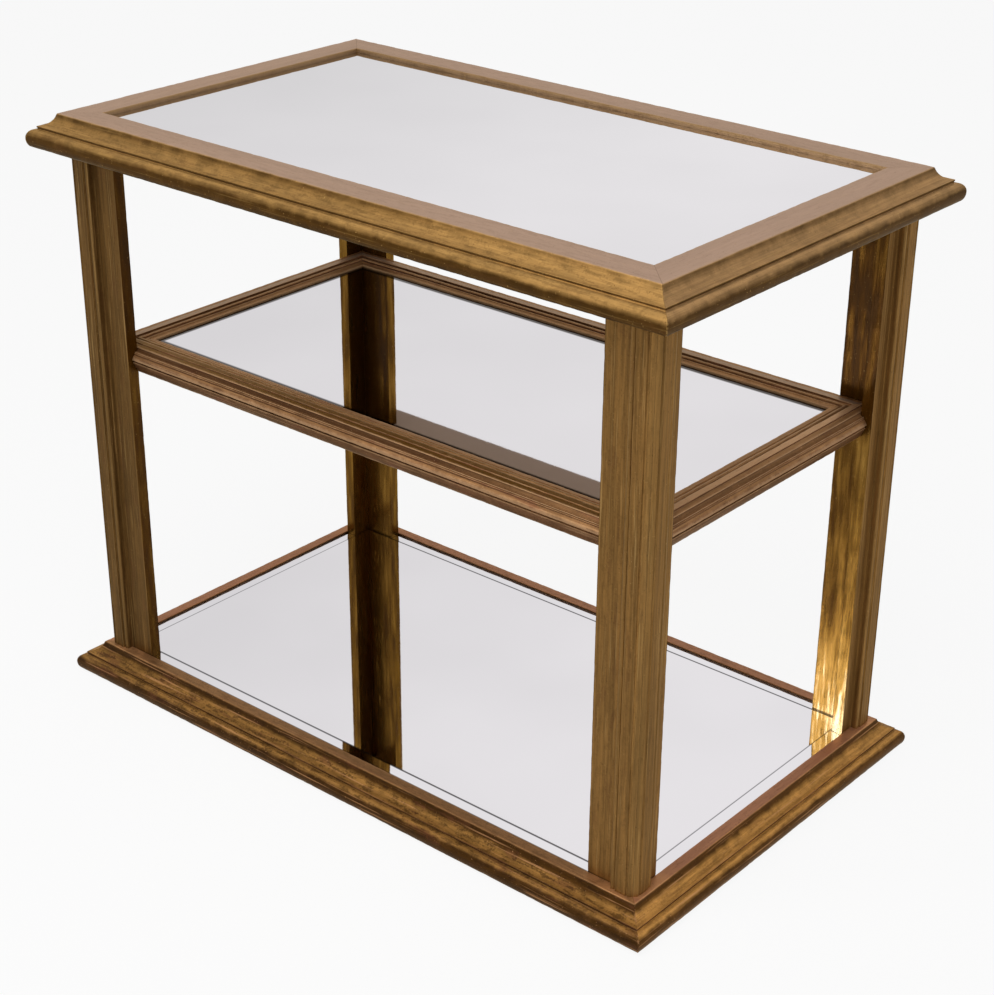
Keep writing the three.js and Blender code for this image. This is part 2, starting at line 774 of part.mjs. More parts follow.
buildTopFrame();
buildTopPanels();
buildPosts();
buildShelfFrame();
buildShelfPanels();
buildBaseFrame();
buildBasePanels();
buildFixings();

export default table;
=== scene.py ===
"""Looks of a serving table: aged gilt mouldings, mirror panes and soft studio light.

Metres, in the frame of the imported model: X runs along the long side, Y from front to back and Z up,
and the origin is on the floor below the middle of the table.
"""

import logging
import math
from dataclasses import dataclass, field
from enum import Enum
from functools import partial, reduce

import bpy
import numpy as np
from mathutils import Matrix, Vector

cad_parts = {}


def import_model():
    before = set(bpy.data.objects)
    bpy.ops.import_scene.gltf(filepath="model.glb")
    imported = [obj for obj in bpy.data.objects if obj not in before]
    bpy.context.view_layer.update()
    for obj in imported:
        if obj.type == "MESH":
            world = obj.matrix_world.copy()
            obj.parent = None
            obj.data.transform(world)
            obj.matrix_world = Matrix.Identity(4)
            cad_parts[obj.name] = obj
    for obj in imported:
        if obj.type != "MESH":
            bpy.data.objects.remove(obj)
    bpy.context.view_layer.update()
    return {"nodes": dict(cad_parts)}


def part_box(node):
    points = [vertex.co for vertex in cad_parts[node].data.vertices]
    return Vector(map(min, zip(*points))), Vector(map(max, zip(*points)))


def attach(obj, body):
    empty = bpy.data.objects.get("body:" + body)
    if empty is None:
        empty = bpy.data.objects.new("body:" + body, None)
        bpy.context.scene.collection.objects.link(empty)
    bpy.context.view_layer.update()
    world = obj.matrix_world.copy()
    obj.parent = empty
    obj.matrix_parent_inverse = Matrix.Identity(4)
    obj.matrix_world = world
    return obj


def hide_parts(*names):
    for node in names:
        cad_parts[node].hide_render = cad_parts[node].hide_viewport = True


LOG = logging.getLogger("serving_table")
Array = np.ndarray
Pair = tuple[float, float]
Triple = tuple[float, float, float]
Colour = tuple[int, int, int]
Piece = bpy.types.Object
Material = bpy.types.Material
Socket = bpy.types.NodeSocket
Value = Socket | float | tuple

ARC_POINTS = 25
BOW_POINTS = 17
LINE_SAMPLES = 4096
SAME_PLACE = 1e-7  # points closer than this are one
GENERAL_RUN = 0.0024  # width over which a section's general run is averaged
PROUD_UNIT = 0.0006
MESH_STEP = 0.0034
MESH_TURN = math.radians(12)
PLACE, NORMAL, AROUND, PROUD = slice(0, 2), slice(2, 4), 4, 5  # columns of the rows of a section line
SHARP_EDGE = 34.0  # degrees
MARK_FADE = 0.0004  # width over which a painted mark of a section fades in
TONE_SPAN = (0.36, 0.64)  # where the summed noises pass from dark to light
HELD_BACK = 0.4  # share of the wear that is left on flats, and on short sides
MITRE = 0.0001  # half width over which the rails of two sides meet
WHITE = (1.0, 1.0, 1.0, 1.0)


class Named(Enum):
    """Option whose name appears in the names of nodes."""

    @property
    def title(self) -> str:
        """Name of the option as the nodes spell it."""
        return self.name.lower()


class Side(Named):
    """The four sides of a frame, each with its turn about Z from the front."""

    FRONT = 0.0
    RIGHT = math.pi / 2
    BACK = math.pi
    LEFT = -math.pi / 2

    @property
    def is_long(self) -> bool:
        """Whether the side runs along X."""
        return self in (Side.FRONT, Side.BACK)


class Corner(Named):
    """The four corners of the table, each with its signs along X and Y."""

    FRONT_LEFT = (-1, -1)
    FRONT_RIGHT = (1, -1)
    BACK_LEFT = (-1, 1)
    BACK_RIGHT = (1, 1)


class Leg(Named):
    """The two boards of a post, each with its place in a pair of lengths."""

    LONG = 0
    SIDE = 1


def linear(colour: Colour) -> tuple[float, float, float, float]:
    """Turns a display colour of 0 to 255 into linear light, by the standard display curve.

    Args:
        colour: Red, green and blue from 0 to 255.

    Returns:
        Red, green, blue and full alpha, in linear light.
    """
    share = np.asarray(colour, float) / 255.0
    low = share / 12.92
    high = ((share + 0.055) / 1.055) ** 2.4
    red, green, blue = np.where(share <= 0.04045, low, high)
    return float(red), float(green), float(blue), 1.0


def rise(value: Array, start: float, width: float) -> Array:
    """Share that goes from 0 at start to 1 at start + width: (value - start) / width, held between them."""
    return np.clip((value - start) / width, 0, 1)


# Section lines


def arc(centre: Pair, radii: Pair, start: float, end: float) -> Array:
    """Elliptic arc: centre plus radii times cosine and sine of an angle that runs from start to end.

    Args:
        centre: Middle of the ellipse.
        radii: Half axes along the first and second coordinate.
        start: First angle in radians.
        end: Last angle in radians.

    Returns:
        Points, one row each.
    """
    angle = np.linspace(start, end, ARC_POINTS)
    return np.array(centre) + np.array(radii) * np.stack([np.cos(angle), np.sin(angle)], 1)


def bow(start: Pair, end: Pair, sagitta: float) -> Array:
    """Circular arc over a chord, which bulges to the left of the way from start to end.

    Its radius is (half chord squared + sagitta squared) / (2 sagitta).

    Args:
        start: First end of the chord.
        end: Second end of the chord.
        sagitta: Height of the arc over the chord. A negative one bulges to the right.

    Returns:
        Points from start to end, one row each.
    """
    first, last = np.asarray(start, float), np.asarray(end, float)
    chord = last - first
    half = np.hypot(*chord) / 2
    along = chord / (2 * half)
    left = np.array([-along[1], along[0]])
    height = abs(sagitta)
    radius = (half**2 + height**2) / (2 * height)
    angle = np.linspace(-1.0, 1.0, BOW_POINTS) * math.asin(min(1.0, half / radius))
    across = math.copysign(1.0, sagitta) * (radius * np.cos(angle) - radius + height)
    return (first + last) / 2 + np.outer(across, left) + np.outer(radius * np.sin(angle), along)


def running(steps: Array) -> Array:
    """Sums of the steps so far, from 0 on."""
    return np.concatenate([[0.0], np.cumsum(steps)])


@dataclass(frozen=True)
class SectionLine:
    """Closed line of a section, counterclockwise and thinned for a mesh.

    Attributes:
        rows: For each point its place (2 values), its outward unit normal (2), its distance along the
            line from the first point, and how far it stands out from the line's general run.
        length: Whole length of the line.
    """

    rows: Array
    length: float

    @classmethod
    def through(cls, *parts: "Array | list", softness: float = 0.00028) -> "SectionLine":
        """Softens a drawn outline and thins it.

        The line is sampled evenly and each coordinate is averaged round the loop with a bell curve, by
        multiplying its Fourier terms by exp(-(softness x wave number)^2 / 2). The proud value is the
        distance, along the outward normal, to the same line averaged over its general run, in proud
        units. Points are then kept at even steps of length / mesh step + turning / mesh turn.

        Args:
            parts: Corners of the outline in order, in rows.
            softness: Half width of the bell curve.

        Returns:
            The thinned line.
        """
        corners = np.vstack(parts)
        x, y = corners.T
        if np.sum(x * np.roll(y, -1) - np.roll(x, -1) * y) < 0:
            corners = corners[::-1]
        loop = np.vstack([corners, corners[:1]])
        steps = np.hypot(*np.diff(loop, axis=0).T)
        loop = loop[np.concatenate([[True], steps > SAME_PLACE])]
        distance = running(np.hypot(*np.diff(loop, axis=0).T))
        even = np.linspace(0.0, distance[-1], LINE_SAMPLES, endpoint=False)
        line = np.interp(even, distance, loop[:, 0]) + 1j * np.interp(even, distance, loop[:, 1])
        wave = 2 * math.pi * np.fft.fftfreq(LINE_SAMPLES, distance[-1] / LINE_SAMPLES)
        terms = np.fft.fft(line)
        soft, broad = (np.fft.ifft(terms * np.exp(-((wide * wave) ** 2) / 2)) for wide in (softness, GENERAL_RUN))
        tangent = np.roll(soft, -1) - np.roll(soft, 1)
        tangent /= np.abs(tangent)
        normal = -1j * tangent
        proud = np.real((soft - broad) * np.conj(normal)) / PROUD_UNIT
        turning = np.abs(np.angle(np.roll(tangent, -1) / tangent))
        step = np.abs(np.roll(soft, -1) - soft)
        weight, run = running(step / MESH_STEP + turning / MESH_TURN), running(step)
        wanted = np.linspace(0.0, weight[-1], int(math.ceil(weight[-1])), endpoint=False)
        place = np.interp(wanted, weight, np.arange(LINE_SAMPLES + 1))
        index = np.minimum(np.round(place).astype(int), LINE_SAMPLES - 1)
        rows = np.stack([soft.real, soft.imag, normal.real, normal.imag, run[:-1], proud], 1)
        return cls(rows[index], float(run[-1]))

    def columns(self) -> tuple[Array, Array, Array, Array]:
        """Points, normals, distances along the line and proud values."""
        return self.rows[:, PLACE], self.rows[:, NORMAL], self.rows[:, AROUND], self.rows[:, PROUD]

    def crossed(self, axis: int, value: float) -> "SectionLine":
        """Adds a point wherever the line crosses a coordinate value, by straight interpolation.

        Args:
            axis: 0 for the first coordinate and 1 for the second.
            value: Where the line is crossed.

        Returns:
            The line with the added points.
        """
        following = np.roll(self.rows, -1, axis=0)
        following[-1, AROUND] += self.length
        here, there = self.rows[:, axis] - value, following[:, axis] - value
        edges = np.nonzero(here * there < 0)[0]
        share = (here[edges] / (here[edges] - there[edges]))[:, None]
        added = self.rows[edges] * (1 - share) + following[edges] * share
        rows = np.insert(self.rows, edges + 1, added, axis=0)
        rows[np.abs(rows[:, axis] - value) < SAME_PLACE, axis] = value
        rows[:, NORMAL] /= np.hypot(*rows[:, NORMAL].T)[:, None]
        return SectionLine(rows, self.length)

    def begun(self, first: int) -> "SectionLine":
        """The same line from another first point, with its distances counted from there.

        Args:
            first: Number of the new first point.

        Returns:
            The renumbered line.
        """
        rows = np.roll(self.rows, -first, axis=0)
        rows[:, AROUND] = (rows[:, AROUND] - rows[0, AROUND]) % self.length
        return SectionLine(rows, self.length)


@dataclass(frozen=True)
class CorniceSection:
    """Cornice of the top and of the base, as reach outward from the post faces and height."""

    lip_inset: float
    rebate_drop: float
    wall_inset: float
    height: float = 0.032
    reach: float = 0.026
    foot_round: float = 0.0045
    nose_round: float = 0.0074
    nose_height: float = 0.0087
    nose_rise: float = 0.0085
    quirk_depth: float = 0.0013
    quirk_height: float = 0.0013
    fillet_proud: float = 0.0006
    fillet_height: float = 0.0017
    fillet_tread: float = 0.0012
    cove_sagitta: float = 0.0026
    flat_reach: float = 0.0034
    flat_edge: float = 0.0008
    lip_edge: float = 0.0006

    def line(self) -> SectionLine:
        """Round foot, nose, quirk, fillet, cove, flat and lip, softened.

        Returns:
            The section line.
        """
        nose_middle = self.reach - self.nose_round
        quirk = nose_middle - self.quirk_depth
        fillet = quirk + self.fillet_proud
        quirk_foot = self.nose_height + self.nose_rise
        fillet_foot = quirk_foot + self.quirk_height
        fillet_top = fillet_foot + self.fillet_height
        foot_middle = (self.reach - self.foot_round, self.nose_height)
        cove_end = (self.flat_reach + self.flat_edge, self.height - self.flat_edge)
        rebate = self.height - self.rebate_drop
        return SectionLine.through(
            [[-self.wall_inset, 0.0]],
            arc(foot_middle, (self.foot_round, self.nose_height), -math.pi / 2, 0.0),
            arc((nose_middle, self.nose_height), (self.nose_round, self.nose_rise), 0.0, math.pi / 2),
            [[quirk, quirk_foot], [quirk, fillet_foot], [fillet, fillet_foot], [fillet, fillet_top]],
            bow((fillet - self.fillet_tread, fillet_top), cove_end, self.cove_sagitta),
            [[self.flat_reach, self.height], [self.lip_edge - self.lip_inset, self.height]],
            [[-self.lip_inset, self.height - self.lip_edge], [-self.lip_inset, rebate], [-self.wall_inset, rebate]],
        )


@dataclass(frozen=True)
class ShelfSection:
    """Reeded rail of the middle shelf, as reach outward from the post faces and height."""

    height: float = 0.026
    foot_inset: float = 0.019
    belly_inset: float = 0.0162
    belly_height: float = 0.0042
    belly_top: Pair = (0.0131, 0.0112)
    reed_groove: float = 0.0022
    reed_groove_edge: float = 0.0003
    reed_inset: float = 0.0125
    reed_foot_height: float = 0.0133
    reed_top_inset: float = 0.0173
    reed_top_drop: float = 0.005
    reed_sagitta: float = 0.00085
    hollow_drop: float = 0.0021
    hollow_sagitta: float = 0.0006
    band_outer_inset: float = 0.0205
    band_edge: float = 0.0006
    band_fall: Pair = (0.001, 0.0006)
    band_line: Triple = (0.0264, 0.0268, 0.0272)
    band_line_depth: float = 0.0013
    band_inset: float = 0.034
    groove: float = 0.0026
    groove_depth: float = 0.0018
    groove_sagitta: float = 0.00055
    bead: float = 0.004
    bead_rise: float = 0.0011
    small_quirk: float = 0.0014
    small_quirk_depth: float = 0.0027
    small_bead: float = 0.0032
    small_bead_rise: float = 0.0007
    lip_slope: float = 0.0048
    lip_drop: float = 0.0033
    lip_edge: float = 0.0006
    lip_above_pane: float = 0.002
    lip_width: float = 0.006
    pane: float = 0.004
    reed_shares: tuple[float, ...] = (0.0, 0.67, 0.86, 1.0)
    softness: float = 0.0002

    def line(self) -> SectionLine:
        """Foot, belly, groove, three reeds, hollow, band with a fine line, groove, two beads and lip, softened.

        Returns:
            The section line.
        """
        top = self.height
        belly, belly_height = self.belly_top
        reed_foot = np.array([-self.reed_inset, self.reed_foot_height])
        reed_top = np.array([-self.reed_top_inset, top - self.reed_top_drop])
        marks = [reed_foot + (reed_top - reed_foot) * share for share in self.reed_shares]
        hollow_height = top - self.hollow_drop
        outer_band = top - self.band_fall[0]
        line_start, line_middle, line_end = self.band_line
        floor = top - self.groove_depth
        groove_end = self.band_inset + self.groove
        bead_end = groove_end + self.bead
        quirk_floor = top - self.small_quirk_depth
        small_start = bead_end + self.small_quirk
        small_end = small_start + self.small_bead
        lip = small_end + self.lip_slope
        lip_top = top - self.lip_drop
        rebate_top = lip_top - self.lip_above_pane - self.pane
        wall = lip - self.lip_width
        return SectionLine.through(
            [[-wall, 0.0], [-self.foot_inset, 0.0], [-self.belly_inset, self.belly_height], [-belly, belly_height]],
            [[-belly - self.reed_groove, belly_height + self.reed_groove_edge]],
            [[-self.reed_inset - self.reed_groove, self.reed_foot_height - self.reed_groove_edge]],
            *(bow(start, end, -self.reed_sagitta) for start, end in zip(marks[:-1], marks[1:])),
            bow(reed_top, (-self.band_outer_inset - self.band_edge, hollow_height), self.hollow_sagitta),
            [[-self.band_outer_inset, hollow_height], [-self.band_outer_inset, outer_band - self.band_edge]],
            [[-self.band_outer_inset - self.band_edge, outer_band], [-line_start, top - self.band_fall[1]]],
            [[-line_middle, top - self.band_line_depth], [-line_end, top], [-self.band_inset, top]],
            bow((-self.band_inset, floor), (-groove_end, floor), self.groove_sagitta),
            bow((-groove_end, floor), (-bead_end, floor), -self.bead_rise),
            [[-bead_end, quirk_floor]],
            bow((-small_start, quirk_floor), (-small_end, quirk_floor), -self.small_bead_rise),
            [[self.lip_edge - lip, lip_top], [-lip, lip_top - self.lip_edge], [-lip, rebate_top], [-wall, rebate_top]],
            softness=self.softness,
        )


@dataclass(frozen=True)
class LegSection:
    """Board of a post, as distance along the leg from the outer corner and depth behind its outer face."""

    board: float = 0.012
    proud: float = 0.0078
    chamfer: float = 0.007
    groove: float = 0.0029
    groove_depth: float = 0.0014
    band: float = 0.0115
    fine_groove: float = 0.001
    fine_groove_depth: float = 0.0007
    bead: float = 0.0048
    bead_crown: float = 0.0007
    bead_foot: float = 0.0023
    mitre_gap: float = 0.00002
    softness: float = 0.00022

    @property
    def thickness(self) -> float:
        """From the outer face to the inner face."""
        return self.board + self.proud

    def line(self, length: float) -> SectionLine:
        """Chamfer, groove, band, fine groove, bead and plain part, softened.

        Args:
            length: From the outer corner to the end of the leg.

        Returns:
            The section line.
        """
        middle = self.chamfer / 2
        groove_end = self.chamfer + self.groove
        band_end = groove_end + self.band
        bead_start = band_end + self.fine_groove
        bead_end = bead_start + self.bead
        bead_middle = ((bead_start + bead_end) / 2, self.bead_foot)
        return SectionLine.through(
            [[middle + self.mitre_gap, middle - self.mitre_gap]],
            bow((self.chamfer, 0.0), (groove_end, 0.0), self.groove_depth),
            [[band_end, 0.0], [band_end, self.fine_groove_depth]],
            arc(bead_middle, (self.bead / 2, self.bead_foot - self.bead_crown), math.pi, 2 * math.pi),
            [[bead_end, self.proud], [length, self.proud], [length, self.thickness]],
            [[self.thickness + self.mitre_gap, self.thickness - self.mitre_gap]],
            softness=self.softness,
        )


# Meshes


@dataclass(frozen=True)
class Unevenness:
    """Slight waves of a surface, as a sum of plane waves through space.

    The value at a point is 0.5 + 0.5 x tanh(sum of cosines of wave vector . point + phase, scaled to
    unit spread), so it lies between 0 and 1 and runs on across the joints. The depth is how far its
    highest places are pressed in.
    """

    seed: int
    shortest: float
    longest: float
    depth: float
    count: int = 28

    def at(self, points: Array) -> Array:
        """Value at each point.

        Args:
            points: Points, with the three coordinates along the last axis.

        Returns:
            Values from 0 to 1.
        """
        chance = np.random.default_rng(self.seed)
        heading = chance.normal(size=(self.count, 3))
        heading /= np.linalg.norm(heading, axis=1)[:, None]
        size = np.exp(chance.uniform(math.log(self.shortest), math.log(self.longest), self.count))
        waves = heading * (2 * math.pi / size)[:, None]
        phase = chance.uniform(0, 2 * math.pi, self.count)
        total = np.cos(points @ waves.T + phase).sum(-1) / math.sqrt(self.count / 2)
        return 0.5 + 0.5 * np.tanh(total)


PLANING = Unevenness(seed=11, shortest=0.045, longest=0.16, depth=0.0001)
RIPPLE = Unevenness(seed=12, shortest=0.012, longest=0.03, depth=0.00005)
NIBBLE = Unevenness(seed=13, shortest=0.007, longest=0.018, depth=0.00016)
BITE_START, BITE_SPAN = 0.62, 0.3  # where the nibble waves start to bite
BITTEN_EDGE = 0.5  # proud value from which they bite in full


def hand_worn(points: Array, normals: Array, proud: Array) -> Array:
    """Presses a surface in slightly, so that it never stands outside its section.

    The depth is that of the planing waves and of the ripple, each times its value, and on proud edges
    that of the nibble waves more, where they bite.

    Args:
        points: Points of the surface.
        normals: Outward normals.
        proud: Proud values.

    Returns:
        The moved points.
    """
    bitten = rise(NIBBLE.at(points), BITE_START, BITE_SPAN) * rise(proud, 0.0, BITTEN_EDGE)
    depth = PLANING.depth * PLANING.at(points) + RIPPLE.depth * RIPPLE.at(points) + NIBBLE.depth * bitten
    return points - normals * depth[..., None]


def cells(grid: Array) -> Array:
    """Values at the four corners of each cell of a grid: here, next column, next of both and next row.

    Args:
        grid: Values by row and column, with any further axes.

    Returns:
        Values by cell and corner.
    """
    corners = np.stack([grid[:-1, :-1], grid[:-1, 1:], grid[1:, 1:], grid[1:, :-1]], 2)
    return corners.reshape(-1, 4, *grid.shape[2:])


def ring_quads(rows: int, columns: int) -> Array:
    """Quads of a grid of points that closes round its columns, as point numbers."""
    numbers = np.arange(rows * columns).reshape(rows, columns)
    return cells(np.hstack([numbers, numbers[:, :1]]))


def ring_marks(along: Array, around: Array, length: float) -> Array:
    """UV of the corners of ring_quads: distance along and distance around, with the seam at the length.

    Args:
        along: Distance along of each grid point, rows by columns.
        around: Distance around of each column.
        length: Whole length around.

    Returns:
        UV by quad and corner.
    """
    closed = np.hstack([along, along[:, :1]])
    return cells(np.stack([closed, np.broadcast_to(np.append(around, length), closed.shape)], -1))


def signed_volume(points: Array, polygons: list[Array]) -> float:
    """Six times the volume of a closed mesh, as the sum of triple products over fans of each polygon.

    Args:
        points: Points, one row each.
        polygons: Groups of polygons with equal numbers of corners, as point numbers.

    Returns:
        The sum, below 0 where the faces point inward.
    """
    total = 0.0
    for group in polygons:
        first = points[group[:, 0]]
        for k in range(1, group.shape[1] - 1):
            total += float(np.einsum("ij,ij->", first, np.cross(points[group[:, k]], points[group[:, k + 1]])))
    return total


def linked(name: str, data: bpy.types.ID) -> Piece:
    """Puts data into a new object of the scene.

    Args:
        name: Name of the object.
        data: Mesh, light or camera.

    Returns:
        The object, at the origin.
    """
    thing = bpy.data.objects.new(name, data)
    bpy.context.scene.collection.objects.link(thing)
    return thing


def make_piece(
    name: str, points: Array, polygons: list[Array], marks: list[Array], values: dict[str, Array]
) -> Piece:
    """Puts a closed surface into a mesh object at the origin.

    Args:
        name: Name of the piece.
        points: Points, one row each.
        polygons: Groups of polygons with equal numbers of corners, as point numbers.
        marks: For each group, the UV of each corner, in metres along and around.
        values: Point attributes by name.

    Returns:
        The new object, linked to the scene.
    """
    if signed_volume(points, polygons) < 0:
        polygons = [group[:, ::-1] for group in polygons]
        marks = [mark[:, ::-1] for mark in marks]
    corners = np.concatenate([group.ravel() for group in polygons]).astype(np.int32)
    sizes = np.concatenate([np.full(len(group), group.shape[1]) for group in polygons])
    starts = np.concatenate([[0], np.cumsum(sizes)[:-1]]).astype(np.int32)
    mesh = bpy.data.meshes.new(name)
    mesh.vertices.add(len(points))
    mesh.vertices.foreach_set("co", points.astype(np.float32).ravel())
    mesh.loops.add(len(corners))
    mesh.loops.foreach_set("vertex_index", corners)
    mesh.polygons.add(len(sizes))
    mesh.polygons.foreach_set("loop_start", starts)
    mesh.update(calc_edges=True)
    flat = np.concatenate([mark.reshape(-1, 2) for mark in marks])
    mesh.uv_layers.new(name="run").uv.foreach_set("vector", flat.astype(np.float32).ravel())
    for title, value in values.items():
        attribute = mesh.attributes.new(title, "FLOAT", "POINT")
        attribute.data.foreach_set("value", value.astype(np.float32).ravel())
    mesh.polygons.foreach_set("use_smooth", np.ones(len(sizes), bool))
    mesh.set_sharp_from_angle(angle=math.radians(SHARP_EDGE))
    mesh.validate()
    return linked(name, mesh)


def dress(piece: Piece, material: Material, node: str) -> None:
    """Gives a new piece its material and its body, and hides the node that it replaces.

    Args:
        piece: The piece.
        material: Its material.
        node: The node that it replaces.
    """
    piece.data.materials.append(material)
    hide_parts(node)
    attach(piece, "root")
    LOG.info("%s: %d faces", piece.name, len(piece.data.polygons))


# Materials


class Nodes:
    """Adds nodes to a tree."""

    def __init__(self, tree: bpy.types.NodeTree) -> None:
        """Keeps the tree."""
        self.tree = tree

    def feed(self, socket: Socket, value: Value) -> None:
        """Links a socket to another one, or sets its value.

        Args:
            socket: The input.
            value: Output to link it to, or its new value.
        """
        if isinstance(value, Socket):
            self.tree.links.new(value, socket)
        else:
            socket.default_value = value

    def add(self, kind: str, inputs: "dict[int | str, Value]", output: "int | str" = 0, **settings: str) -> Socket:
        """Adds a node.

        Args:
            kind: Type of the node, without ShaderNode.
            inputs: What feeds each input, by its number or name.
            output: Number or name of the output that is wanted.
            settings: Settings of the node.

        Returns:
            The wanted output.
        """
        node = self.tree.nodes.new(f"ShaderNode{kind}")
        for title, setting in settings.items():
            setattr(node, title, setting)
        for title, value in inputs.items():
            self.feed(node.inputs[title], value)
        return node.outputs[output]

    def math(self, kind: str, first: Value, second: Value = 0.0) -> Socket:
        """Result of one operation on two numbers."""
        return self.add("Math", {0: first, 1: second}, operation=kind)

    def product(self, *values: Value) -> Socket:
        """Product of numbers."""
        return reduce(partial(self.math, "MULTIPLY"), values)

    def highest(self, *values: Value) -> Socket:
        """Highest of some numbers."""
        return reduce(partial(self.math, "MAXIMUM"), values)

    def seen(self) -> Socket:
        """Is 1 for camera, glossy and transmission rays and 0 for the rest."""
        kinds = ("Camera", "Glossy", "Transmission")
        return self.highest(*(self.add("LightPath", {}, f"Is {kind} Ray") for kind in kinds))


class Shade(Nodes):
    """Builds the nodes of one material."""

    def __init__(self, name: str) -> None:
        """Starts a material with a surface shader and its output.

        Args:
            name: Name of the material.
        """
        self.material = bpy.data.materials.new(name)
        self.material.use_nodes = True
        super().__init__(self.material.node_tree)
        self.tree.nodes.clear()
        self.surface = self.tree.nodes.new("ShaderNodeBsdfPrincipled")
        self.output = self.tree.nodes.new("ShaderNodeOutputMaterial").inputs[0]
        self.feed(self.output, self.surface.outputs[0])
        self.place = self.where("Object")

    def set(self, **values: Value) -> None:
        """Feeds inputs of the surface shader, with an underscore for each space in their names."""
        for title, value in values.items():
            self.feed(self.surface.inputs[title.replace("_", " ")], value)

    def where(self, output: str) -> Socket:
        """Output of the texture coordinate node: Object, UV or Normal."""
        return self.add("TexCoord", {}, output)

    def part(self, vector: Socket, axis: int) -> Socket:
        """One coordinate of a vector."""
        return self.add("SeparateXYZ", {0: vector}, axis)

    def value(self, name: str) -> Socket:
        """Point attribute of the piece."""
        return self.add("Attribute", {}, "Fac", attribute_name=name)

    def off(self, axis: int) -> Socket:
        """Distance of a point from the middle of the table along an axis."""
        return self.math("ABSOLUTE", self.part(self.place, axis))

    def sum(self, *terms: tuple[Socket, float]) -> Socket:
        """Sum of values, each times its weight.

        Args:
            terms: Values with their weights.

        Returns:
            The sum.
        """
        total: Value = 0.0
        for term, weight in terms:
            total = self.add("Math", {0: term, 1: weight, 2: total}, operation="MULTIPLY_ADD")
        return total

    def step(self, value: Value, low: float, high: float, first: Value = 0.0, last: Value = 1.0) -> Socket:
        """Smooth step from first at low to last at high."""
        ends = dict(enumerate((value, low, high, first, last)))
        return self.add("MapRange", ends, interpolation_type="SMOOTHSTEP")

    def scaled(self, vector: Socket, factors: Value) -> Socket:
        """Vector or colour times a number, or times a factor for each axis."""
        return self.add("VectorMath", {0: vector, 1: factors}, operation="MULTIPLY")

    def noise(self, vector: Socket, scale: float, detail: float = 3.0, warp: float = 0.0) -> Socket:
        """Cloudy noise with features about 1 / scale metres across."""
        return self.add("TexNoise", {"Vector": vector, "Scale": scale, "Detail": detail, "Distortion": warp})

    def stretched(self, vector: Socket, scales: Triple, detail: float = 3.0, warp: float = 0.0) -> Socket:
        """Noise with a scale of its own along each axis."""
        return self.noise(self.scaled(vector, scales), 1.0, detail, warp)

    def blend(self, share: Value, first: Value, second: Value) -> Socket:
        """Colour that goes from first to second with the share."""
        return self.add("Mix", {0: share, 6: first, 7: second}, 2, data_type="RGBA")

    def coated(self, colour: Socket, paint: Colour, *shares: Value) -> Socket:
        """Colour with paint over it, as thick as the product of the shares."""
        return self.blend(self.product(*shares), colour, linear(paint))

    def ramp(self, value: Socket, stops: "tuple[tuple[float, Colour], ...]") -> Socket:
        """Colour along a row of stops.

        Args:
            value: Place in the row.
            stops: Places with their colours, in order.

        Returns:
            The colour.
        """
        colour = self.add("ValToRGB", {0: value})
        elements = colour.node.color_ramp.elements
        for element, (position, paint) in zip(elements, (stops[0], stops[-1])):
            element.position, element.color = position, linear(paint)
        for position, paint in stops[1:-1]:
            elements.new(position).color = linear(paint)
        return colour

    def bump(self, height: Socket, distance: float) -> Socket:
        """Normal that follows a height from 0 to 1 over a distance in metres."""
        return self.add("Bump", {"Distance": distance, "Height": height})


@dataclass(frozen=True)
class GiltFinish:
    """Aged gilding with streaks along the moulding, worn to its red ground in places.

    Its tone goes with the way a surface faces, as painted light and shade: bare wood below, a dark painted
    shade on what leans down, brown painted shade on upright faces, clean leaf brightened by painted light on
    slopes, and on flats a dull film with a painted pale sheen. Recesses hold dirt and painted shade.
    """

    name: str
    # Colours by facing: what leans down and upright faces get painted shade, slopes get painted light, and flats get a
    # dull film with a painted pale sheen.
    under_shade: Colour
    steep_shade: Colour
    slope: Colour
    flat: Colour
    rubbed: Colour
    ground: Colour
    recess: Colour
    front_flat: Colour | None = None
    right_flat: Colour | None = None
    # Darker tone of the inner lip: painted shade where the rail meets the pane.
    lip: Colour | None = None
    bare_wood: Colour = (194, 170, 148)
    depth: float = 0.3
    streak: float = 0.2
    patches: float = 0.4
    dabs: float = 0.2
    cracks: float = 0.12
    lines: float = 0.3
    worn: float = 0.12
    soil_and_shade: float = 0.2
    soil_from: float = 0.6
    # Strength of the painted light toward the right end; below 0 it is painted shade.
    near_painted_light: float = 1.0
    # Painted light where the short sides lean up.
    ends_painted_light: float = 0.0
    turn: Pair = (0.7, 0.88)
    ends_tint: Triple = (1.0, 1.0, 1.0)
    corner_wear: float = 0.0
    # Painted shade: how much dimmer the left end is.
    left_painted_shade: float = 0.12
    seam: float = 0.5
    metallic: float = 0.5
    roughness: float = 0.42
    # Leaf colours by painted brightness: painted shade at the bottom, a pale painted highlight at the top.
    leaf: tuple[tuple[float, Colour], ...] = (
        (0.0, (48, 28, 8)),
        (0.35, (76, 46, 6)),
        (0.6, (114, 82, 34)),
        (0.86, (164, 126, 62)),
        (1.0, (242, 218, 166)),
    )

    def material(self) -> Material:
        """Nodes of the finish."""
        return GiltShade(self).painted()


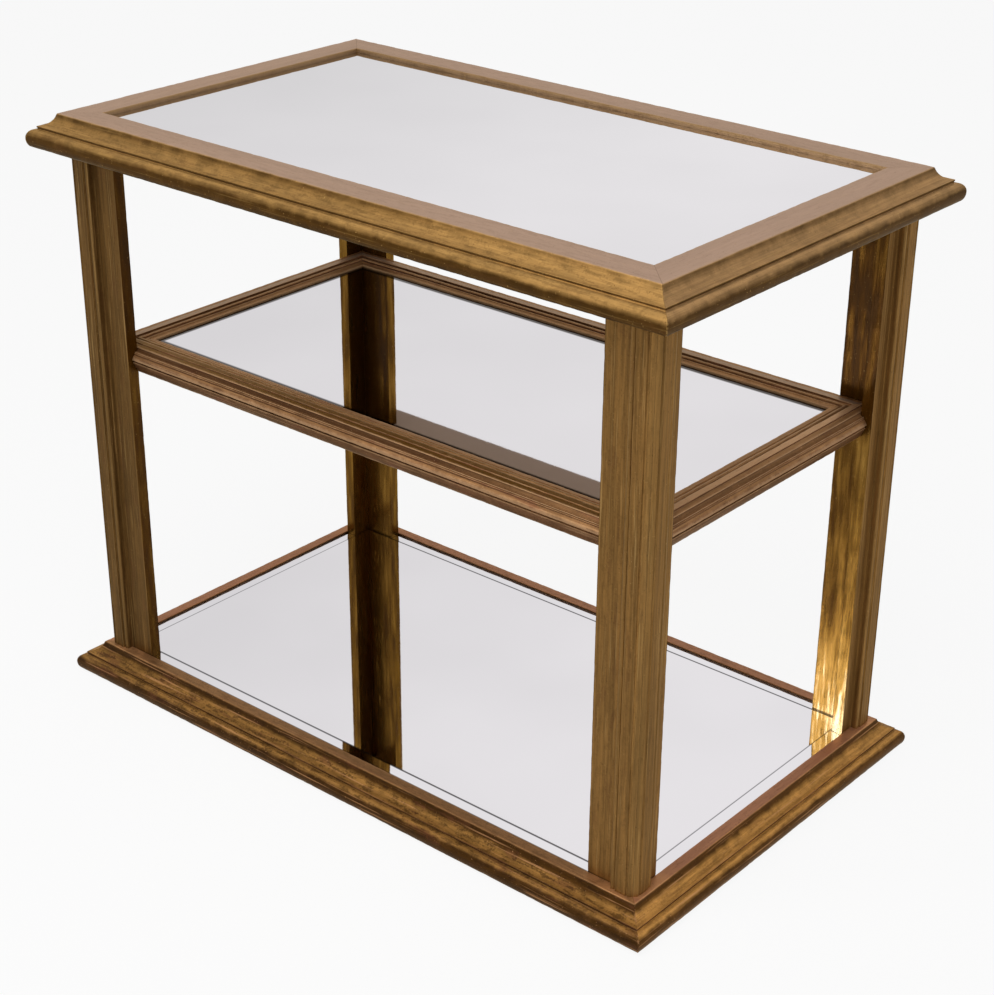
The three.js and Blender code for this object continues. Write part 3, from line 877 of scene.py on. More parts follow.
class GiltShade(Shade):
    """Nodes of a gilt finish: values that its layers share, and the layers, one over another."""

    def __init__(self, finish: GiltFinish) -> None:
        """Makes the shared values.

        Across is the distance from the mitre planes of the corners, above 0 on the rails of the short
        sides. A crack runs where a drawn-out noise passes its middle, in some clouds.

        Args:
            finish: The finish to build.
        """
        super().__init__(finish.name)
        self.finish = finish
        self.run, self.proud = self.where("UV"), self.value("proud")
        self.x, self.upward = self.part(self.place, 0), self.part(self.where("Normal"), 2)
        self.cloud, self.grain = self.noise(self.place, 75.0, 4.0, 0.4), self.noise(self.place, 460.0)
        self.streak, self.thread = self.drawn(7.0, 300.0, 4.0), self.drawn(24.0, 950.0)

        face_x, face_y = post_faces()
        apart = self.math("SUBTRACT", self.off(0), self.off(1))
        self.across = self.product(self.math("SUBTRACT", apart, face_x - face_y), math.sqrt(0.5))
        self.ends = self.step(self.across, -MITRE, MITRE)
        self.calm = self.step(self.ends, 1.0, 0.0)
        # Painted light toward the right end, or painted shade where its strength is below 0; none on the short sides.
        self.painted_near_light = self.product(self.step(self.x, 0.0, 0.36, 0.0, finish.near_painted_light), self.calm)

        weights = (0.1, 0.25, 0.45 - finish.streak, finish.streak, 0.2)
        noises = (self.noise(self.place, 9.0, 2.0), self.drawn(2.0, 75.0, 2.0), self.cloud, self.streak, self.thread)
        self.tone = self.sum(*zip(noises, weights))
        # Tone of up-facing flats: a dull film with a painted pale sheen.
        self.bloom_and_sheen = self.product(self.value("bloom_and_sheen"), self.step(self.upward, 0.5, 0.93))
        self.scratch = self.step(self.drawn(9.0, 420.0), 0.58, 0.68, 0.0, finish.lines)
        # Hollows darkened with the recess colour: dirt and painted shade.
        hollow = self.sum((self.proud, -1.0), (self.grain, 0.4), (self.cloud, 0.4))
        self.hollow = self.step(hollow, finish.soil_from, finish.soil_from + 0.7)
        off_middle = self.math("ABSOLUTE", self.math("SUBTRACT", self.drawn(13.0, 260.0, 2.0), 0.5))
        self.crack = self.product(self.step(off_middle, 0.04, 0.006), self.step(self.cloud, 0.44, 0.6))

    def drawn(self, along: float, around: float, detail: float = 3.0, warp: float = 0.0) -> Socket:
        """Noise drawn out along the moulding, with its features per metre along and around."""
        return self.stretched(self.run, (along, around, 1.0), detail, warp)

    def toned(self) -> Socket:
        """Colour by facing as painted light and shade, with the tone of the noises, painted shade to the left,
        painted light to the right and where the short sides lean up, less painted shade in grooves, and tinted on the
        short sides.

        Returns:
            The colour.
        """
        finish = self.finish
        groove = self.step(self.proud, -0.5, -1.1)
        # Painted light where the short sides lean up; grooves get less painted shade.
        leaning = self.product(self.ends, self.step(self.upward, -0.2, 0.2))
        lights = ((self.painted_near_light, 0.14), (leaning, finish.ends_painted_light), (groove, 0.3))
        facing = self.math("ADD", self.sum((self.upward, 0.5), (self.cloud, 0.14), *lights), 0.43)
        first, last = finish.turn
        # Ramp by facing: painted shade on what leans down and on upright faces, painted light on slopes.
        steep_shade, slope = ((0.4, finish.steep_shade), (first, finish.steep_shade)), ((last, finish.slope), (1.0, finish.slope))
        colour = self.ramp(facing, ((0.12, finish.under_shade), *steep_shade, *slope))
        value = self.step(self.tone, *TONE_SPAN, 1.0 - finish.depth, 1.0 + finish.depth)
        # Painted shade: dimmer toward the left.
        fade = self.step(self.x, -0.42, 0.3, 1.0 - finish.left_painted_shade, 1.0)
        # Painted light in grooves toward the right end.
        lift = self.step(self.product(groove, self.painted_near_light), 0.0, 1.0, 1.0, 1.3)
        colour = self.scaled(colour, self.product(value, fade, lift))
        return self.scaled(colour, self.blend(self.ends, WHITE, (*finish.ends_tint, 1.0)))

    def flats(self) -> Socket:
        """Dull film of the flats with a painted pale sheen, with colours of their own at the front and on the right.

        Returns:
            The colour.
        """
        finish = self.finish
        front = self.product(self.step(self.part(self.place, 1), 0.0, -0.02), self.calm)
        right = self.product(self.step(self.x, 0.0, 0.02), self.ends)
        flat = self.coated(linear(finish.flat), finish.front_flat or finish.flat, front)
        flat = self.coated(flat, finish.right_flat or finish.flat, right)
        return self.scaled(flat, self.step(self.tone, *TONE_SPAN, 0.92, 1.07))

    def worn(self, colour: Socket) -> Socket:
        """Bare patches, dabs, scratches, rubbed crowns, hollows darkened by dirt and painted shade, cracks and chafed
        corners.

        Args:
            colour: The gilding below.

        Returns:
            The colour with its wear.
        """
        finish = self.finish
        mottled, clean = (self.step(value, 0.0, 1.0, 1.0, HELD_BACK) for value in (self.bloom_and_sheen, self.ends))
        bare = self.sum((self.drawn(26.0, 110.0, 5.0, 0.1), 0.85), (self.grain, 0.15))
        dab = self.sum((self.drawn(60.0, 260.0, 5.0), 0.65), (self.grain, 0.35))
        crown = self.sum((self.proud, 1.0), (self.cloud, 1.0), (self.grain, 0.6))
        # How dark the hollows get: dirt and painted shade, less of it toward the right end where light is painted.
        soil_and_shade = self.step(self.painted_near_light, 0.0, 1.0, finish.soil_and_shade, 0.1 * finish.soil_and_shade)
        layers = [
            (finish.ground, self.step(bare, 0.54, 0.64, 0.0, finish.patches), mottled, clean),
            (finish.recess, self.step(dab, 0.48, 0.6, 0.0, finish.dabs), mottled, clean),
            (finish.rubbed, self.scratch, mottled),
            (finish.rubbed, self.step(crown, 1.2, 1.9, 0.0, finish.worn)),
            (finish.recess, self.hollow, soil_and_shade, clean),
            (finish.recess, self.crack, finish.cracks),
        ]
        if finish.corner_wear:
            corner = (self.step(self.off(k), edge - 0.07, edge - 0.03) for k, edge in enumerate(post_faces()))
            chafed = self.step(self.cloud, 0.3, 0.6, 0.2, 1.0)
            layers.append((finish.rubbed, *corner, self.bloom_and_sheen, chafed, finish.corner_wear))
        for paint, *shares in layers:
            colour = self.coated(colour, paint, *shares)
        return colour

    def jointed(self, colour: Socket) -> Socket:
        """Mitre with a dark hairline and chipped light edges.

        Args:
            colour: The gilding below.

        Returns:
            The colour with its joints.
        """
        gap, seam = self.math("ABSOLUTE", self.across), self.finish.seam
        chipped = (self.step(gap, 0.0009, 0.0002), self.step(self.grain, 0.46, 0.56))
        colour = self.coated(colour, self.finish.rubbed, *chipped, self.step(self.upward, 0.98, 0.9, 0.0, seam))
        return self.coated(colour, self.finish.recess, self.step(gap, 0.00028, 0.0001, 0.0, seam))

    def painted(self) -> Material:
        """Toned gilding with painted light and shade, flats with a painted sheen, the lip with painted shade,
        wear, inner leaf with painted shade and reflection, specks, joints and the bare wood below.

        Returns:
            The material.
        """
        finish = self.finish
        colour = self.blend(self.bloom_and_sheen, self.toned(), self.flats())
        # Darker tone of the inner lip: painted shade where the rail meets the pane.
        if finish.lip is not None:
            colour = self.coated(colour, finish.lip, self.value("lip"))
        colour = self.worn(colour)
        inside = self.value("inside")
        # The inner leaf's brightness is painted shade and painted reflection.
        kept = self.sum((self.value("leaf"), 1.0), (self.drawn(16.0, 150.0, 5.0, 0.1), 0.9), (self.scratch, 0.2))
        leaf = self.math("ADD", kept, -0.47)
        colour = self.blend(inside, colour, self.ramp(leaf, finish.leaf))
        speck = self.step(self.noise(self.place, 700.0, 2.0), 0.67, 0.74)
        colour = self.coated(colour, finish.recess, speck, 0.6)
        fleck = self.step(self.noise(self.place, 560.0, 2.0), 0.31, 0.25, 0.0, 0.5)
        colour = self.jointed(self.coated(colour, finish.rubbed, fleck))
        wood = self.step(self.upward, -0.95, -0.99)
        dirt = self.highest(self.hollow, speck, wood)
        rough = self.math("ADD", self.sum((dirt, 0.16), (self.cloud, 0.12)), finish.roughness - 0.06)
        plain_shine = self.step(dirt, 0.0, 1.0, finish.metallic, 0.2)
        relief = ((self.grain, 0.35), (self.streak, 0.3), (self.thread, 0.3), (self.cloud, 0.4), (self.crack, -0.4))
        self.set(
            Base_Color=self.coated(colour, finish.bare_wood, wood),
            Metallic=self.step(inside, 0.0, 1.0, plain_shine, self.step(leaf, 0.25, 0.65, 0.25)),
            Roughness=self.step(inside, 0.0, 1.0, rough, 0.27),
            Specular_IOR_Level=0.15,
            Specular_Tint=(0.8, 0.62, 0.4, 1.0),
            Normal=self.bump(self.sum(*relief), 0.00016),
        )
        return self.material


@dataclass(frozen=True)
class MirrorFinish:
    """Silvered glass with painted shade to the left, a painted dark line where a bevel starts, and a painted
    dark reflection of the lip at a rim.

    A bevel bends the view inward like a prism. The pane's own face leans outward there, so the normal
    is turned by a height that rises toward the edge with the given slope. The bevel line fades out
    between two distances, its strength is given on the long and on the short sides, and on the long
    sides distances are shortened, which widens it.
    """

    name: str = "mirror_glass"
    tint: Colour = (219, 216, 219)
    # Painted shade: share of the brightness kept at the left end.
    left: float = 0.86
    rim: tuple[Pair, Pair] | None = None
    rim_width: float = 0.003
    # Colour of the painted dark reflection of the lip at the rim.
    lip_reflection: Colour = (44, 30, 20)
    front_line: float | None = None
    front_width: float = 0.0007
    front_strength: float = 0.9
    # Colour of the painted dark reflection of the front rail's lip.
    front_reflection_colour: Colour = (70, 66, 66)
    bevel: Pair | None = None
    bevel_slope: float = 0.112
    # Colour of the painted dark line where the bevel starts.
    bevel_colour: Colour = (70, 68, 70)
    line_fade: Pair = (0.0009, 0.0004)
    line_strength: Pair = (0.9, 0.7)
    line_shortening: float = 0.62
    end_spread: float = 0.001

    def material(self) -> Material:
        """Nodes of the finish.

        Returns:
            The material.
        """
        s = Shade(self.name)
        paler = tuple(min(255, c + 4) for c in self.tint)
        colour = s.ramp(s.noise(s.place, 5.0, 2.0), ((0.35, self.tint), (0.65, paler)))
        # Painted shade: dimmer toward the left.
        colour = s.scaled(colour, s.step(s.part(s.place, 0), -0.5, 0.25, self.left, 1.0))
        # Painted dark reflection of the rail's lip round the rim.
        for axis, edges in enumerate(self.rim or ()):
            for edge, width in zip(edges, (-self.rim_width, self.rim_width)):
                colour = s.coated(colour, self.lip_reflection, s.step(s.part(s.place, axis), edge, edge + width))
        # Painted dark reflection of the front rail's lip.
        if self.front_line is not None:
            ends = (-self.front_line, -self.front_line - self.front_width, 0.0, self.front_strength)
            colour = s.coated(colour, self.front_reflection_colour, s.step(s.part(s.place, 1), *ends))
        if self.bevel is not None:
            beyond = [s.math("SUBTRACT", s.off(axis), edge) for axis, edge in enumerate(self.bevel)]
            outer = s.highest(*beyond)
            end = s.step(s.math("SUBTRACT", *beyond), -self.end_spread, self.end_spread)
            wide = s.product(s.math("ABSOLUTE", outer), s.step(end, 0.0, 1.0, self.line_shortening, 1.0))
            line = s.step(wide, *self.line_fade, 0.0, s.step(end, 0.0, 1.0, *self.line_strength))
            # Painted dark line where the bevel starts, for the glass's refraction there.
            colour = s.coated(colour, self.bevel_colour, line)
            s.set(Normal=s.bump(s.product(s.highest(outer, 0.0), self.bevel_slope), 1.0))
        s.set(Base_Color=colour, Metallic=1.0, Roughness=0.02)
        return s.material


@dataclass(frozen=True)
class PlainFinish:
    """Grained or brushed plain material for parts that lie inside or below."""

    name: str
    dark: Colour
    light: Colour
    stretch: Triple
    roughness: float
    metallic: float = 0.0

    def material(self) -> Material:
        """Nodes of the finish.

        Returns:
            The material.
        """
        s = Shade(self.name)
        grain, pores = s.stretched(s.place, self.stretch, 5.0, 0.3), s.noise(s.place, 900.0, 2.0)
        s.set(
            Base_Color=s.ramp(s.sum((grain, 0.8), (pores, 0.2)), ((0.35, self.dark), (0.65, self.light))),
            Metallic=self.metallic,
            Roughness=self.roughness,
            Normal=s.bump(s.sum((grain, 0.5), (pores, 0.5)), 0.00015),
        )
        return s.material


CORNICE_GILT = GiltFinish(
    name="cornice_gilt",
    under_shade=(24, 14, 4),
    steep_shade=(76, 49, 12),
    slope=(165, 126, 72),
    flat=(166, 138, 121),
    lip=(140, 112, 82),
    rubbed=(200, 160, 96),
    ground=(112, 72, 40),
    recess=(62, 38, 12),
    patches=0.15,
    dabs=0.3,
    lines=0.12,
    ends_painted_light=0.04,
    turn=(0.63, 0.91),
    ends_tint=(0.88, 0.91, 1.22),
)
BASE_GILT = GiltFinish(
    name="base_gilt",
    under_shade=(58, 36, 14),
    steep_shade=(66, 40, 10),
    slope=(152, 110, 56),
    flat=(166, 116, 88),
    front_flat=(134, 98, 64),
    rubbed=(200, 146, 98),
    ground=(98, 58, 38),
    recess=(44, 24, 8),
    depth=0.34,
    patches=0.5,
    dabs=0.6,
    cracks=0.25,
    lines=0.5,
    soil_and_shade=0.3,
    near_painted_light=-0.45,
    turn=(0.76, 0.92),
    ends_tint=(1.5, 1.5, 1.5),
    corner_wear=0.7,
)
POST_GILT = GiltFinish(
    name="post_gilt",
    under_shade=(84, 58, 26),
    steep_shade=(126, 92, 48),
    slope=(132, 98, 52),
    flat=(132, 100, 66),
    rubbed=(184, 148, 92),
    ground=(96, 62, 34),
    recess=(60, 38, 12),
    depth=0.36,
    streak=0.4,
    patches=0.3,
    dabs=0.2,
    cracks=0.25,
    lines=0.4,
    soil_and_shade=0.08,
    left_painted_shade=0.42,
    seam=0.1,
)
SHELF_GILT = GiltFinish(
    name="shelf_gilt",
    under_shade=(84, 56, 28),
    steep_shade=(116, 80, 54),
    slope=(154, 113, 74),
    flat=(168, 142, 120),
    # Painted shade on the flat of the front rail, below the overhang of the top.
    front_flat=(104, 70, 20),
    right_flat=(200, 159, 120),
    lip=(84, 56, 30),
    rubbed=(196, 158, 118),
    ground=(126, 76, 56),
    recess=(52, 24, 6),
    patches=0.5,
    worn=0.5,
    soil_and_shade=0.8,
    soil_from=0.3,
)
MIRROR = MirrorFinish(left=0.73)
RIMMED_MIRROR = MirrorFinish("rimmed_mirror_glass", rim=((-0.289, 0.2945), (-0.1398, 0.1385)))
BEVELLED_MIRROR = MirrorFinish("bevelled_mirror_glass", (224, 221, 224), front_line=0.1858, bevel=(0.3253, 0.1758))
CORE_BOARD = PlainFinish("core_board", (184, 162, 142), (206, 184, 162), (6.0, 160.0, 160.0), 0.75)
BEECH = PlainFinish("beech_fixing", (174, 134, 92), (204, 168, 124), (60.0, 60.0, 400.0), 0.6)
STEEL = PlainFinish("screw_steel", (140, 136, 130), (172, 168, 160), (300.0, 300.0, 40.0), 0.35, 1.0)
FELT = PlainFinish("pad_felt", (52, 44, 38), (84, 74, 66), (700.0, 700.0, 700.0), 0.95)


# Sub-assemblies


@dataclass
class MouldedFrame:
    """Four mitred rails of one section.

    Attributes:
        tier: Name of the tier as the nodes spell it: top, shelf or base.
        line: Section line of the rails.
        finish: Gilding of the rails.
        slot: Material slot in the record. Not used.
        post_x: Distance of the post faces from the middle along X.
        post_y: The same along Y.
        clip_reach: Reach to which the section is cut back beyond the legs of the posts, or None.
        leg_ends: How far in from the post faces the cut starts, on long and on short sides.
        mitre_gap: Taken off each mitred end.
        spacing: Distance between stations.
        bloom_drop: How far below its highest point a rail has the tone of a flat, at the front and elsewhere.
        lip_start: How far out from the inmost point the tone of the lip starts to fade in.
        lip_fade: Width of that fade.
    """

    tier: str
    line: SectionLine
    finish: GiltFinish
    slot: str
    post_x: float
    post_y: float
    clip_reach: float | None = None
    leg_ends: Pair = (0.035, 0.035)
    mitre_gap: float = 0.00002
    spacing: float = 0.0028
    bloom_drop: Pair = (0.0011, 0.0011)
    lip_start: float = 0.0009
    lip_fade: float = 0.0003

    def build(self) -> None:
        """Builds and dresses the rails."""
        material = self.finish.material()
        for side in Side:
            dress(self.rail(side), material, f"{self.tier}_rail_{side.title}")

    def rail(self, side: Side) -> Piece:
        """One rail: the section is carried along X between the leg ends, and from there to the mitres.

        A point beyond the straight stretch lies at x = straight + v (half + reach - gap - straight),
        where v runs from 0 to 1, so the last row lies in the mitre plane. Where the frame is cut round
        the posts, the reach there is the lesser of its own and the clip reach.

        Args:
            side: Side of the table.

        Returns:
            The piece.
        """
        clipped = self.clip_reach is not None
        line = self.line.crossed(0, self.clip_reach) if clipped else self.line
        section, facing, around, line_proud = line.columns()
        half, depth = (self.post_x, self.post_y) if side.is_long else (self.post_y, self.post_x)
        straight = half - self.leg_ends[0 if side.is_long else 1]
        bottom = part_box(f"{self.tier}_rail_{side.title}")[0].z
        reach, height = section.T
        cut = np.minimum(reach, self.clip_reach) if clipped else reach
        middle = np.linspace(-straight, straight, max(2, round(2 * straight / self.spacing)))
        end = np.linspace(0.0, 1.0, max(3, round((half - straight) / self.spacing)))[0 if clipped else 1 :]
        tip = straight + np.outer(end, half + cut - self.mitre_gap - straight)
        x = np.vstack([-tip[::-1], np.repeat(middle[:, None], len(reach), 1), tip])
        tips = np.tile(cut, (len(end), 1))
        reaches = np.vstack([tips, np.tile(reach, (len(middle), 1)), tips])
        points = np.stack([x, -(depth + reaches), np.broadcast_to(bottom + height, x.shape)], -1)
        normals = np.broadcast_to(np.column_stack([np.zeros(len(reach)), -facing[:, 0], facing[:, 1]]), points.shape)
        turn = np.array(Matrix.Rotation(side.value, 3, "Z")).T
        points, normals = points @ turn, normals @ turn
        proud = np.broadcast_to(line_proud, x.shape)
        points = np.where((reaches == reach)[..., None], hand_worn(points, normals, proud), points)
        columns = np.arange(len(reach))
        drop = self.bloom_drop[0 if side is Side.FRONT else 1]
        return make_piece(
            name=f"{self.tier}_moulding_{side.title}",
            points=points.reshape(-1, 3),
            polygons=[ring_quads(*x.shape), np.stack([columns[::-1], x.size - len(reach) + columns])],
            marks=[ring_marks(x, around, line.length), np.stack([section[::-1], section])],
            values={
                "proud": proud,
                "bloom_and_sheen": np.broadcast_to(rise(height, height.max() - drop, MARK_FADE), x.shape),
                "lip": np.broadcast_to(rise(-reach, -reach.min() - self.lip_start, self.lip_fade), x.shape),
                "inside": np.zeros(x.size),
                "leaf": np.zeros(x.size),
            },
        )


@dataclass(frozen=True)
class InnerLeafShading:
    """How bright the burnished leaf on the inner faces and leg ends of a post is painted, from 0 to 1: painted
    shade above the shelf and a painted reflection that brightens it toward the foot.

    Attributes:
        above_shelf: Brightness of the inner faces above the shelf.
        below_shelf: The same below it.
        foot: The same at the floor.
        ends_above: Added on the leg ends above the shelf.
        ends_below: The same below it.
        shelf_start: Height where the brightness starts to change at the shelf.
        shelf_span: Height over which it changes.
        foot_glow: Height of the bell curve at the foot.
    """

    above_shelf: float
    below_shelf: float
    foot: float
    ends_above: float = 0.0
    ends_below: float = 0.0
    shelf_start: float = 0.34
    shelf_span: float = 0.03
    foot_glow: float = 0.11

    def at(self, height: Array, ends: Array) -> Array:
        """Painted brightness: a step at the shelf, more on the leg ends, and a bell curve that rises to the foot, a
        painted reflection.

        Args:
            height: Height of each point.
            ends: 1 on the leg ends and 0 elsewhere.

        Returns:
            Brightness of each point.
        """
        share = rise(height, self.shelf_start, self.shelf_span)
        plain = self.below_shelf + (self.above_shelf - self.below_shelf) * share
        more = self.ends_below + (self.ends_above - self.ends_below) * share
        return plain + more * ends + (self.foot - self.below_shelf) * np.exp(-((height / self.foot_glow) ** 2))


@dataclass
class CornerPosts:
    """Eight moulded boards, two to a post.

    Attributes:
        section: Section of the boards.
        post_x: Distance of the outer faces from the middle along X.
        post_y: The same along Y.
        foot: Height of the base board, on which the inner part stands.
        seat: Height of the base frame, on which the outer part stands.
        top: Height of the underside of the top frame.
        seat_depth: Depth behind the outer face where the inner part starts.
        lengths: Lengths of the long and of the side leg.
        spacing: Distance between rows.
        mitre_keep: Distance from the mitre over which the wear fades out.
        leaf_edge: Depth in front of a face from which it has inner leaf.
        leaf: Painted shade and reflection of the inner leaf of each post.
    """

    section: LegSection
    post_x: float
    post_y: float
    foot: float
    seat: float
    top: float
    seat_depth: float = 0.0083
    lengths: Pair = (0.057, 0.043)
    spacing: float = 0.0028
    mitre_keep: float = 0.0006
    leaf_edge: float = 0.0007
    leaf: dict[Corner, InnerLeafShading] = field(
        default_factory=lambda: {
            Corner.FRONT_LEFT: InnerLeafShading(0.3, 0.4, 0.5),
            Corner.FRONT_RIGHT: InnerLeafShading(0.35, 0.5, 0.7),
            Corner.BACK_LEFT: InnerLeafShading(0.37, 0.56, 0.56, 0.22, 0.0),
            Corner.BACK_RIGHT: InnerLeafShading(0.35, 0.52, 0.98, 0.04, 0.1),
        }
    )

    def build(self) -> None:
        """Builds and dresses the boards."""
        material = POST_GILT.material()
        for corner in Corner:
            for leg in Leg:
                dress(self.board(corner, leg), material, f"post_{corner.title}_{leg.title}_board")

    def board(self, corner: Corner, leg: Leg) -> Piece:
        """One board: its plan is carried up from the base frame, and its inner part also down to the board.

        The rows above the seat repeat the plan, which begins where the line enters the inner part. Below
        the seat, one more row holds only the points at least the seat depth in, and a wall along that
        depth closes the step. A plan is turned into X and Y by swapping it on side legs, and by the
        signs of the corner.

        Args:
            corner: Corner of the table.
            leg: Board of the post.

        Returns:
            The piece.
        """
        length = self.lengths[leg.value]
        line = self.section.line(length).crossed(1, self.seat_depth)
        depths = line.rows[:, 1]
        entering = (depths == self.seat_depth) & (np.roll(depths, -1) >= self.seat_depth)
        line = line.begun(int(np.argmax(entering)))
        plan, facing, around, line_proud = line.columns()
        columns, deep = len(plan), int(np.sum(plan[:, 1] >= self.seat_depth))

        order, signs = slice(None, None, 1 if leg is Leg.LONG else -1), np.array(corner.value)
        heights = np.linspace(self.seat, self.top, round((self.top - self.seat) / self.spacing))
        shape = (len(heights), columns)
        grid = np.empty((*shape, 3))
        grid[..., :2] = np.array([self.post_x, self.post_y]) * signs - plan[:, order] * signs
        grid[..., 2] = heights[:, None]
        off_mitre = rise(plan[:, 0] - plan[:, 1], 2 * self.section.mitre_gap, self.mitre_keep)
        outward = np.column_stack([-facing[:, order] * signs, np.zeros(columns)]) * off_mitre[:, None]
        grid = hand_worn(grid, np.broadcast_to(outward, grid.shape), np.broadcast_to(line_proud, shape))
        below = grid[0, :deep].copy()
        below[:, 2] = self.foot
        points = np.concatenate([grid.reshape(-1, 3), below])

        inner, start = np.arange(deep), grid.shape[0] * columns
        outer = np.append(np.arange(deep - 1, columns), 0)[::-1]
        levels = np.array([[self.foot], [self.seat]])
        drop, wide = self.seat - self.foot, float(plan[0, 0] - plan[deep - 1, 0])
        ends = rise(plan[:, 0], length - self.leaf_edge, MARK_FADE)
        inside = np.maximum(rise(plan[:, 1], self.section.thickness - self.leaf_edge, MARK_FADE), ends)
        proud, inside, ends = (np.append(np.tile(v, len(heights)), v[:deep]) for v in (line_proud, inside, ends))
        return make_piece(
            name=f"moulded_post_{corner.title}_{leg.title}",
            points=points,
            polygons=[
                ring_quads(*shape),
                cells(np.stack([start + inner, inner])),
                np.array([[start + deep - 1, start, 0, deep - 1]]),
                start + inner[None, ::-1],
                outer[None],
                start - columns + np.arange(columns)[None],
            ],
            marks=[
                ring_marks(np.broadcast_to(heights[:, None], shape), around, line.length),
                cells(np.stack(np.broadcast_arrays(levels, around[:deep]), -1)),
                np.array([[[0.0, 0.0], [wide, 0.0], [wide, drop], [0.0, drop]]]),
                plan[None, inner[::-1]],
                plan[None, outer],
                plan[None],
            ],
            values={
                "proud": proud,
                "bloom_and_sheen": np.zeros(len(points)),
                "inside": inside,
                "leaf": self.leaf[corner].at(points[:, 2], ends),
            },
        )


@dataclass(frozen=True)
class CarriedParts:
    """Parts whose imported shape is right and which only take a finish: panes, boards, fixings and pads.

    Attributes:
        nodes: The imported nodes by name.
        finishes: Each finish with the words that mark the names of its nodes. The first match counts.
    """

    nodes: dict[str, Piece]
    finishes: "tuple[tuple[MirrorFinish | PlainFinish, tuple[str, ...]], ...]" = (
        (BEVELLED_MIRROR, ("base_mirror",)),
        (RIMMED_MIRROR, ("shelf_mirror",)),
        (MIRROR, ("_mirror",)),
        (BEECH, ("_dowel_", "_tongue_")),
        (STEEL, ("_screw_",)),
        (FELT, ("felt_pad",)),
        (CORE_BOARD, ("_board", "_panel")),
    )

    def dress(self) -> None:
        """Gives each of these nodes its finish."""
        materials = [(finish.material(), words) for finish, words in self.finishes]
        for name, node in sorted(self.nodes.items()):
            if node.hide_render:
                continue
            material = next(made for made, words in materials if any(word in name for word in words))
            node.data.materials.clear()
            node.data.materials.append(material)
            LOG.info("%s: %s", name, material.name)


@dataclass(frozen=True)
class Lamp:
    """Square soft lamp that points at the table."""

    name: str
    place: Triple
    size: float
    power: float
    aim: Triple = (0.0, 0.0, 0.3)

    def build(self) -> None:
        """Adds the lamp to the scene."""
        data = bpy.data.lights.new(self.name, "AREA")
        data.size, data.energy = self.size, self.power
        lamp = linked(self.name, data)
        lamp.location = self.place
        lamp.rotation_euler = (Vector(self.aim) - Vector(self.place)).to_track_quat("-Z", "Y").to_euler()


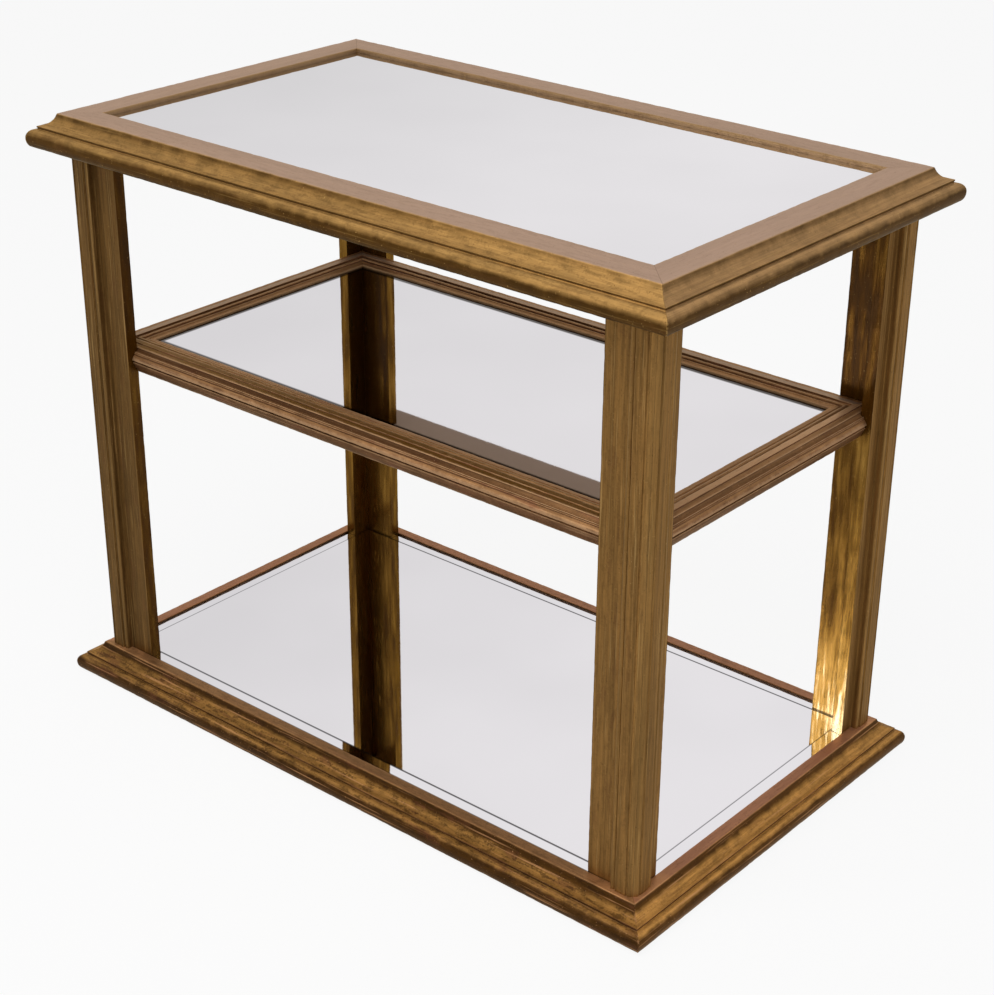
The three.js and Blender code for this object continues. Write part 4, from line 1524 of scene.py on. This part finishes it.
@dataclass(frozen=True)
class Studio:
    """Camera, lamps, world and floor."""

    azimuth: float = 39.405
    elevation: float = 26.916
    roll: float = 0.783
    place: Triple = (1.19157, -1.38276, 1.11981)
    lens: float = 74.51
    shift: Pair = (-0.0267, 0.0432)
    ambient: float = 0.4
    floor_size: float = 40.0
    floor_lines: int = 9
    floor_height: float = -0.0002
    floor_grey: float = 0.78
    floor_glow: float = 0.9
    lamps: tuple[Lamp, ...] = (
        Lamp("top_lamp", (0.4, -1.2, 2.4), 1.6, 30.0),
        Lamp("gleam_lamp", (-0.58, -1.47, 1.17), 0.4, 3.0),
        Lamp("fill_lamp", (2.6, -0.4, 1.4), 2.0, 8.0),
    )

    def build(self) -> None:
        """Sets the stage."""
        self.camera()
        self.world()
        self.floor()
        for lamp in self.lamps:
            lamp.build()
        bpy.context.scene.view_settings.view_transform = "Standard"

    def camera(self) -> None:
        """Camera turned by azimuth, elevation and roll, with its axes as the columns of its matrix."""
        turn, tilt, roll = (math.radians(a) for a in (self.azimuth, self.elevation, self.roll))
        back = Vector((math.sin(turn) * math.cos(tilt), -math.cos(turn) * math.cos(tilt), math.sin(tilt)))
        right = (-back).cross(Vector((0.0, 0.0, 1.0))).normalized()
        up = right.cross(-back)
        right, up = math.cos(roll) * right + math.sin(roll) * up, math.cos(roll) * up - math.sin(roll) * right
        data = bpy.data.cameras.new("photo_camera")
        data.lens, data.shift_x, data.shift_y = self.lens, *self.shift
        data.dof.use_dof = False
        camera = linked("photo_camera", data)
        axes = Matrix((right, up, back)).transposed()
        camera.matrix_world = Matrix.Translation(Vector(self.place)) @ axes.to_4x4()
        bpy.context.scene.camera = camera

    def world(self) -> None:
        """White for seen rays and the ambient level for diffuse light."""
        world = bpy.data.worlds.new("studio_world")
        world.use_nodes = True
        nodes = Nodes(world.node_tree)
        sky = nodes.tree.nodes["Background"]
        nodes.feed(sky.inputs["Color"], WHITE)
        level = nodes.add("MapRange", {"Value": nodes.seen(), "To Min": self.ambient, "To Max": 1.0})
        nodes.feed(sky.inputs["Strength"], level)
        bpy.context.scene.world = world

    def floor(self) -> None:
        """Pale floor that shows white and keeps the shadow of the table."""
        axis = np.linspace(-self.floor_size / 2, self.floor_size / 2, self.floor_lines)
        x, y = np.meshgrid(axis, axis)
        points = np.stack([x, y, np.full(x.shape, self.floor_height)], -1).reshape(-1, 3)
        mesh = bpy.data.meshes.new("studio_floor")
        mesh.from_pydata(points.tolist(), [], cells(np.arange(x.size).reshape(x.shape)).tolist())
        s = Shade("studio_floor")
        s.set(Base_Color=(*[self.floor_grey] * 3, 1.0), Roughness=0.9, Specular_IOR_Level=0.1)
        share = s.product(s.seen(), self.floor_glow)
        s.feed(s.output, s.add("MixShader", {0: share, 1: s.surface.outputs[0], 2: s.add("Emission", {})}))
        mesh.materials.append(s.material)
        linked("studio_floor", mesh)


def post_faces() -> Pair:
    """Distances of the posts' outer faces from the middle: the side boards carry the one along X."""
    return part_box("post_back_right_side_board")[1].x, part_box("post_back_right_long_board")[1].y


def main() -> None:
    """Builds the sub-assemblies in order."""
    logging.basicConfig(level=logging.INFO, format="%(message)s")
    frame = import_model()
    faces = post_faces()
    foot, top_end = (corner.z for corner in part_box("post_back_right_long_board"))
    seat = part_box("base_rail_front")[1].z

    Studio().build()
    top = CorniceSection(lip_inset=0.0266, rebate_drop=0.0093, wall_inset=0.02)
    base = CorniceSection(lip_inset=0.008, rebate_drop=0.0019, wall_inset=0.0035)
    shelf = ShelfSection()
    cut = {"clip_reach": -0.0201, "leg_ends": (0.0573, 0.0433), "bloom_drop": (0.0014, 0.0005)}
    MouldedFrame("top", top.line(), CORNICE_GILT, "cornice_gilt", *faces).build()
    CornerPosts(LegSection(), *faces, foot, seat, top_end).build()
    MouldedFrame("shelf", shelf.line(), SHELF_GILT, "shelf_gilt", *faces, **cut).build()
    MouldedFrame("base", base.line(), BASE_GILT, "cornice_gilt", *faces).build()
    CarriedParts(frame["nodes"]).dress()


if __name__ == "__main__":
    main()
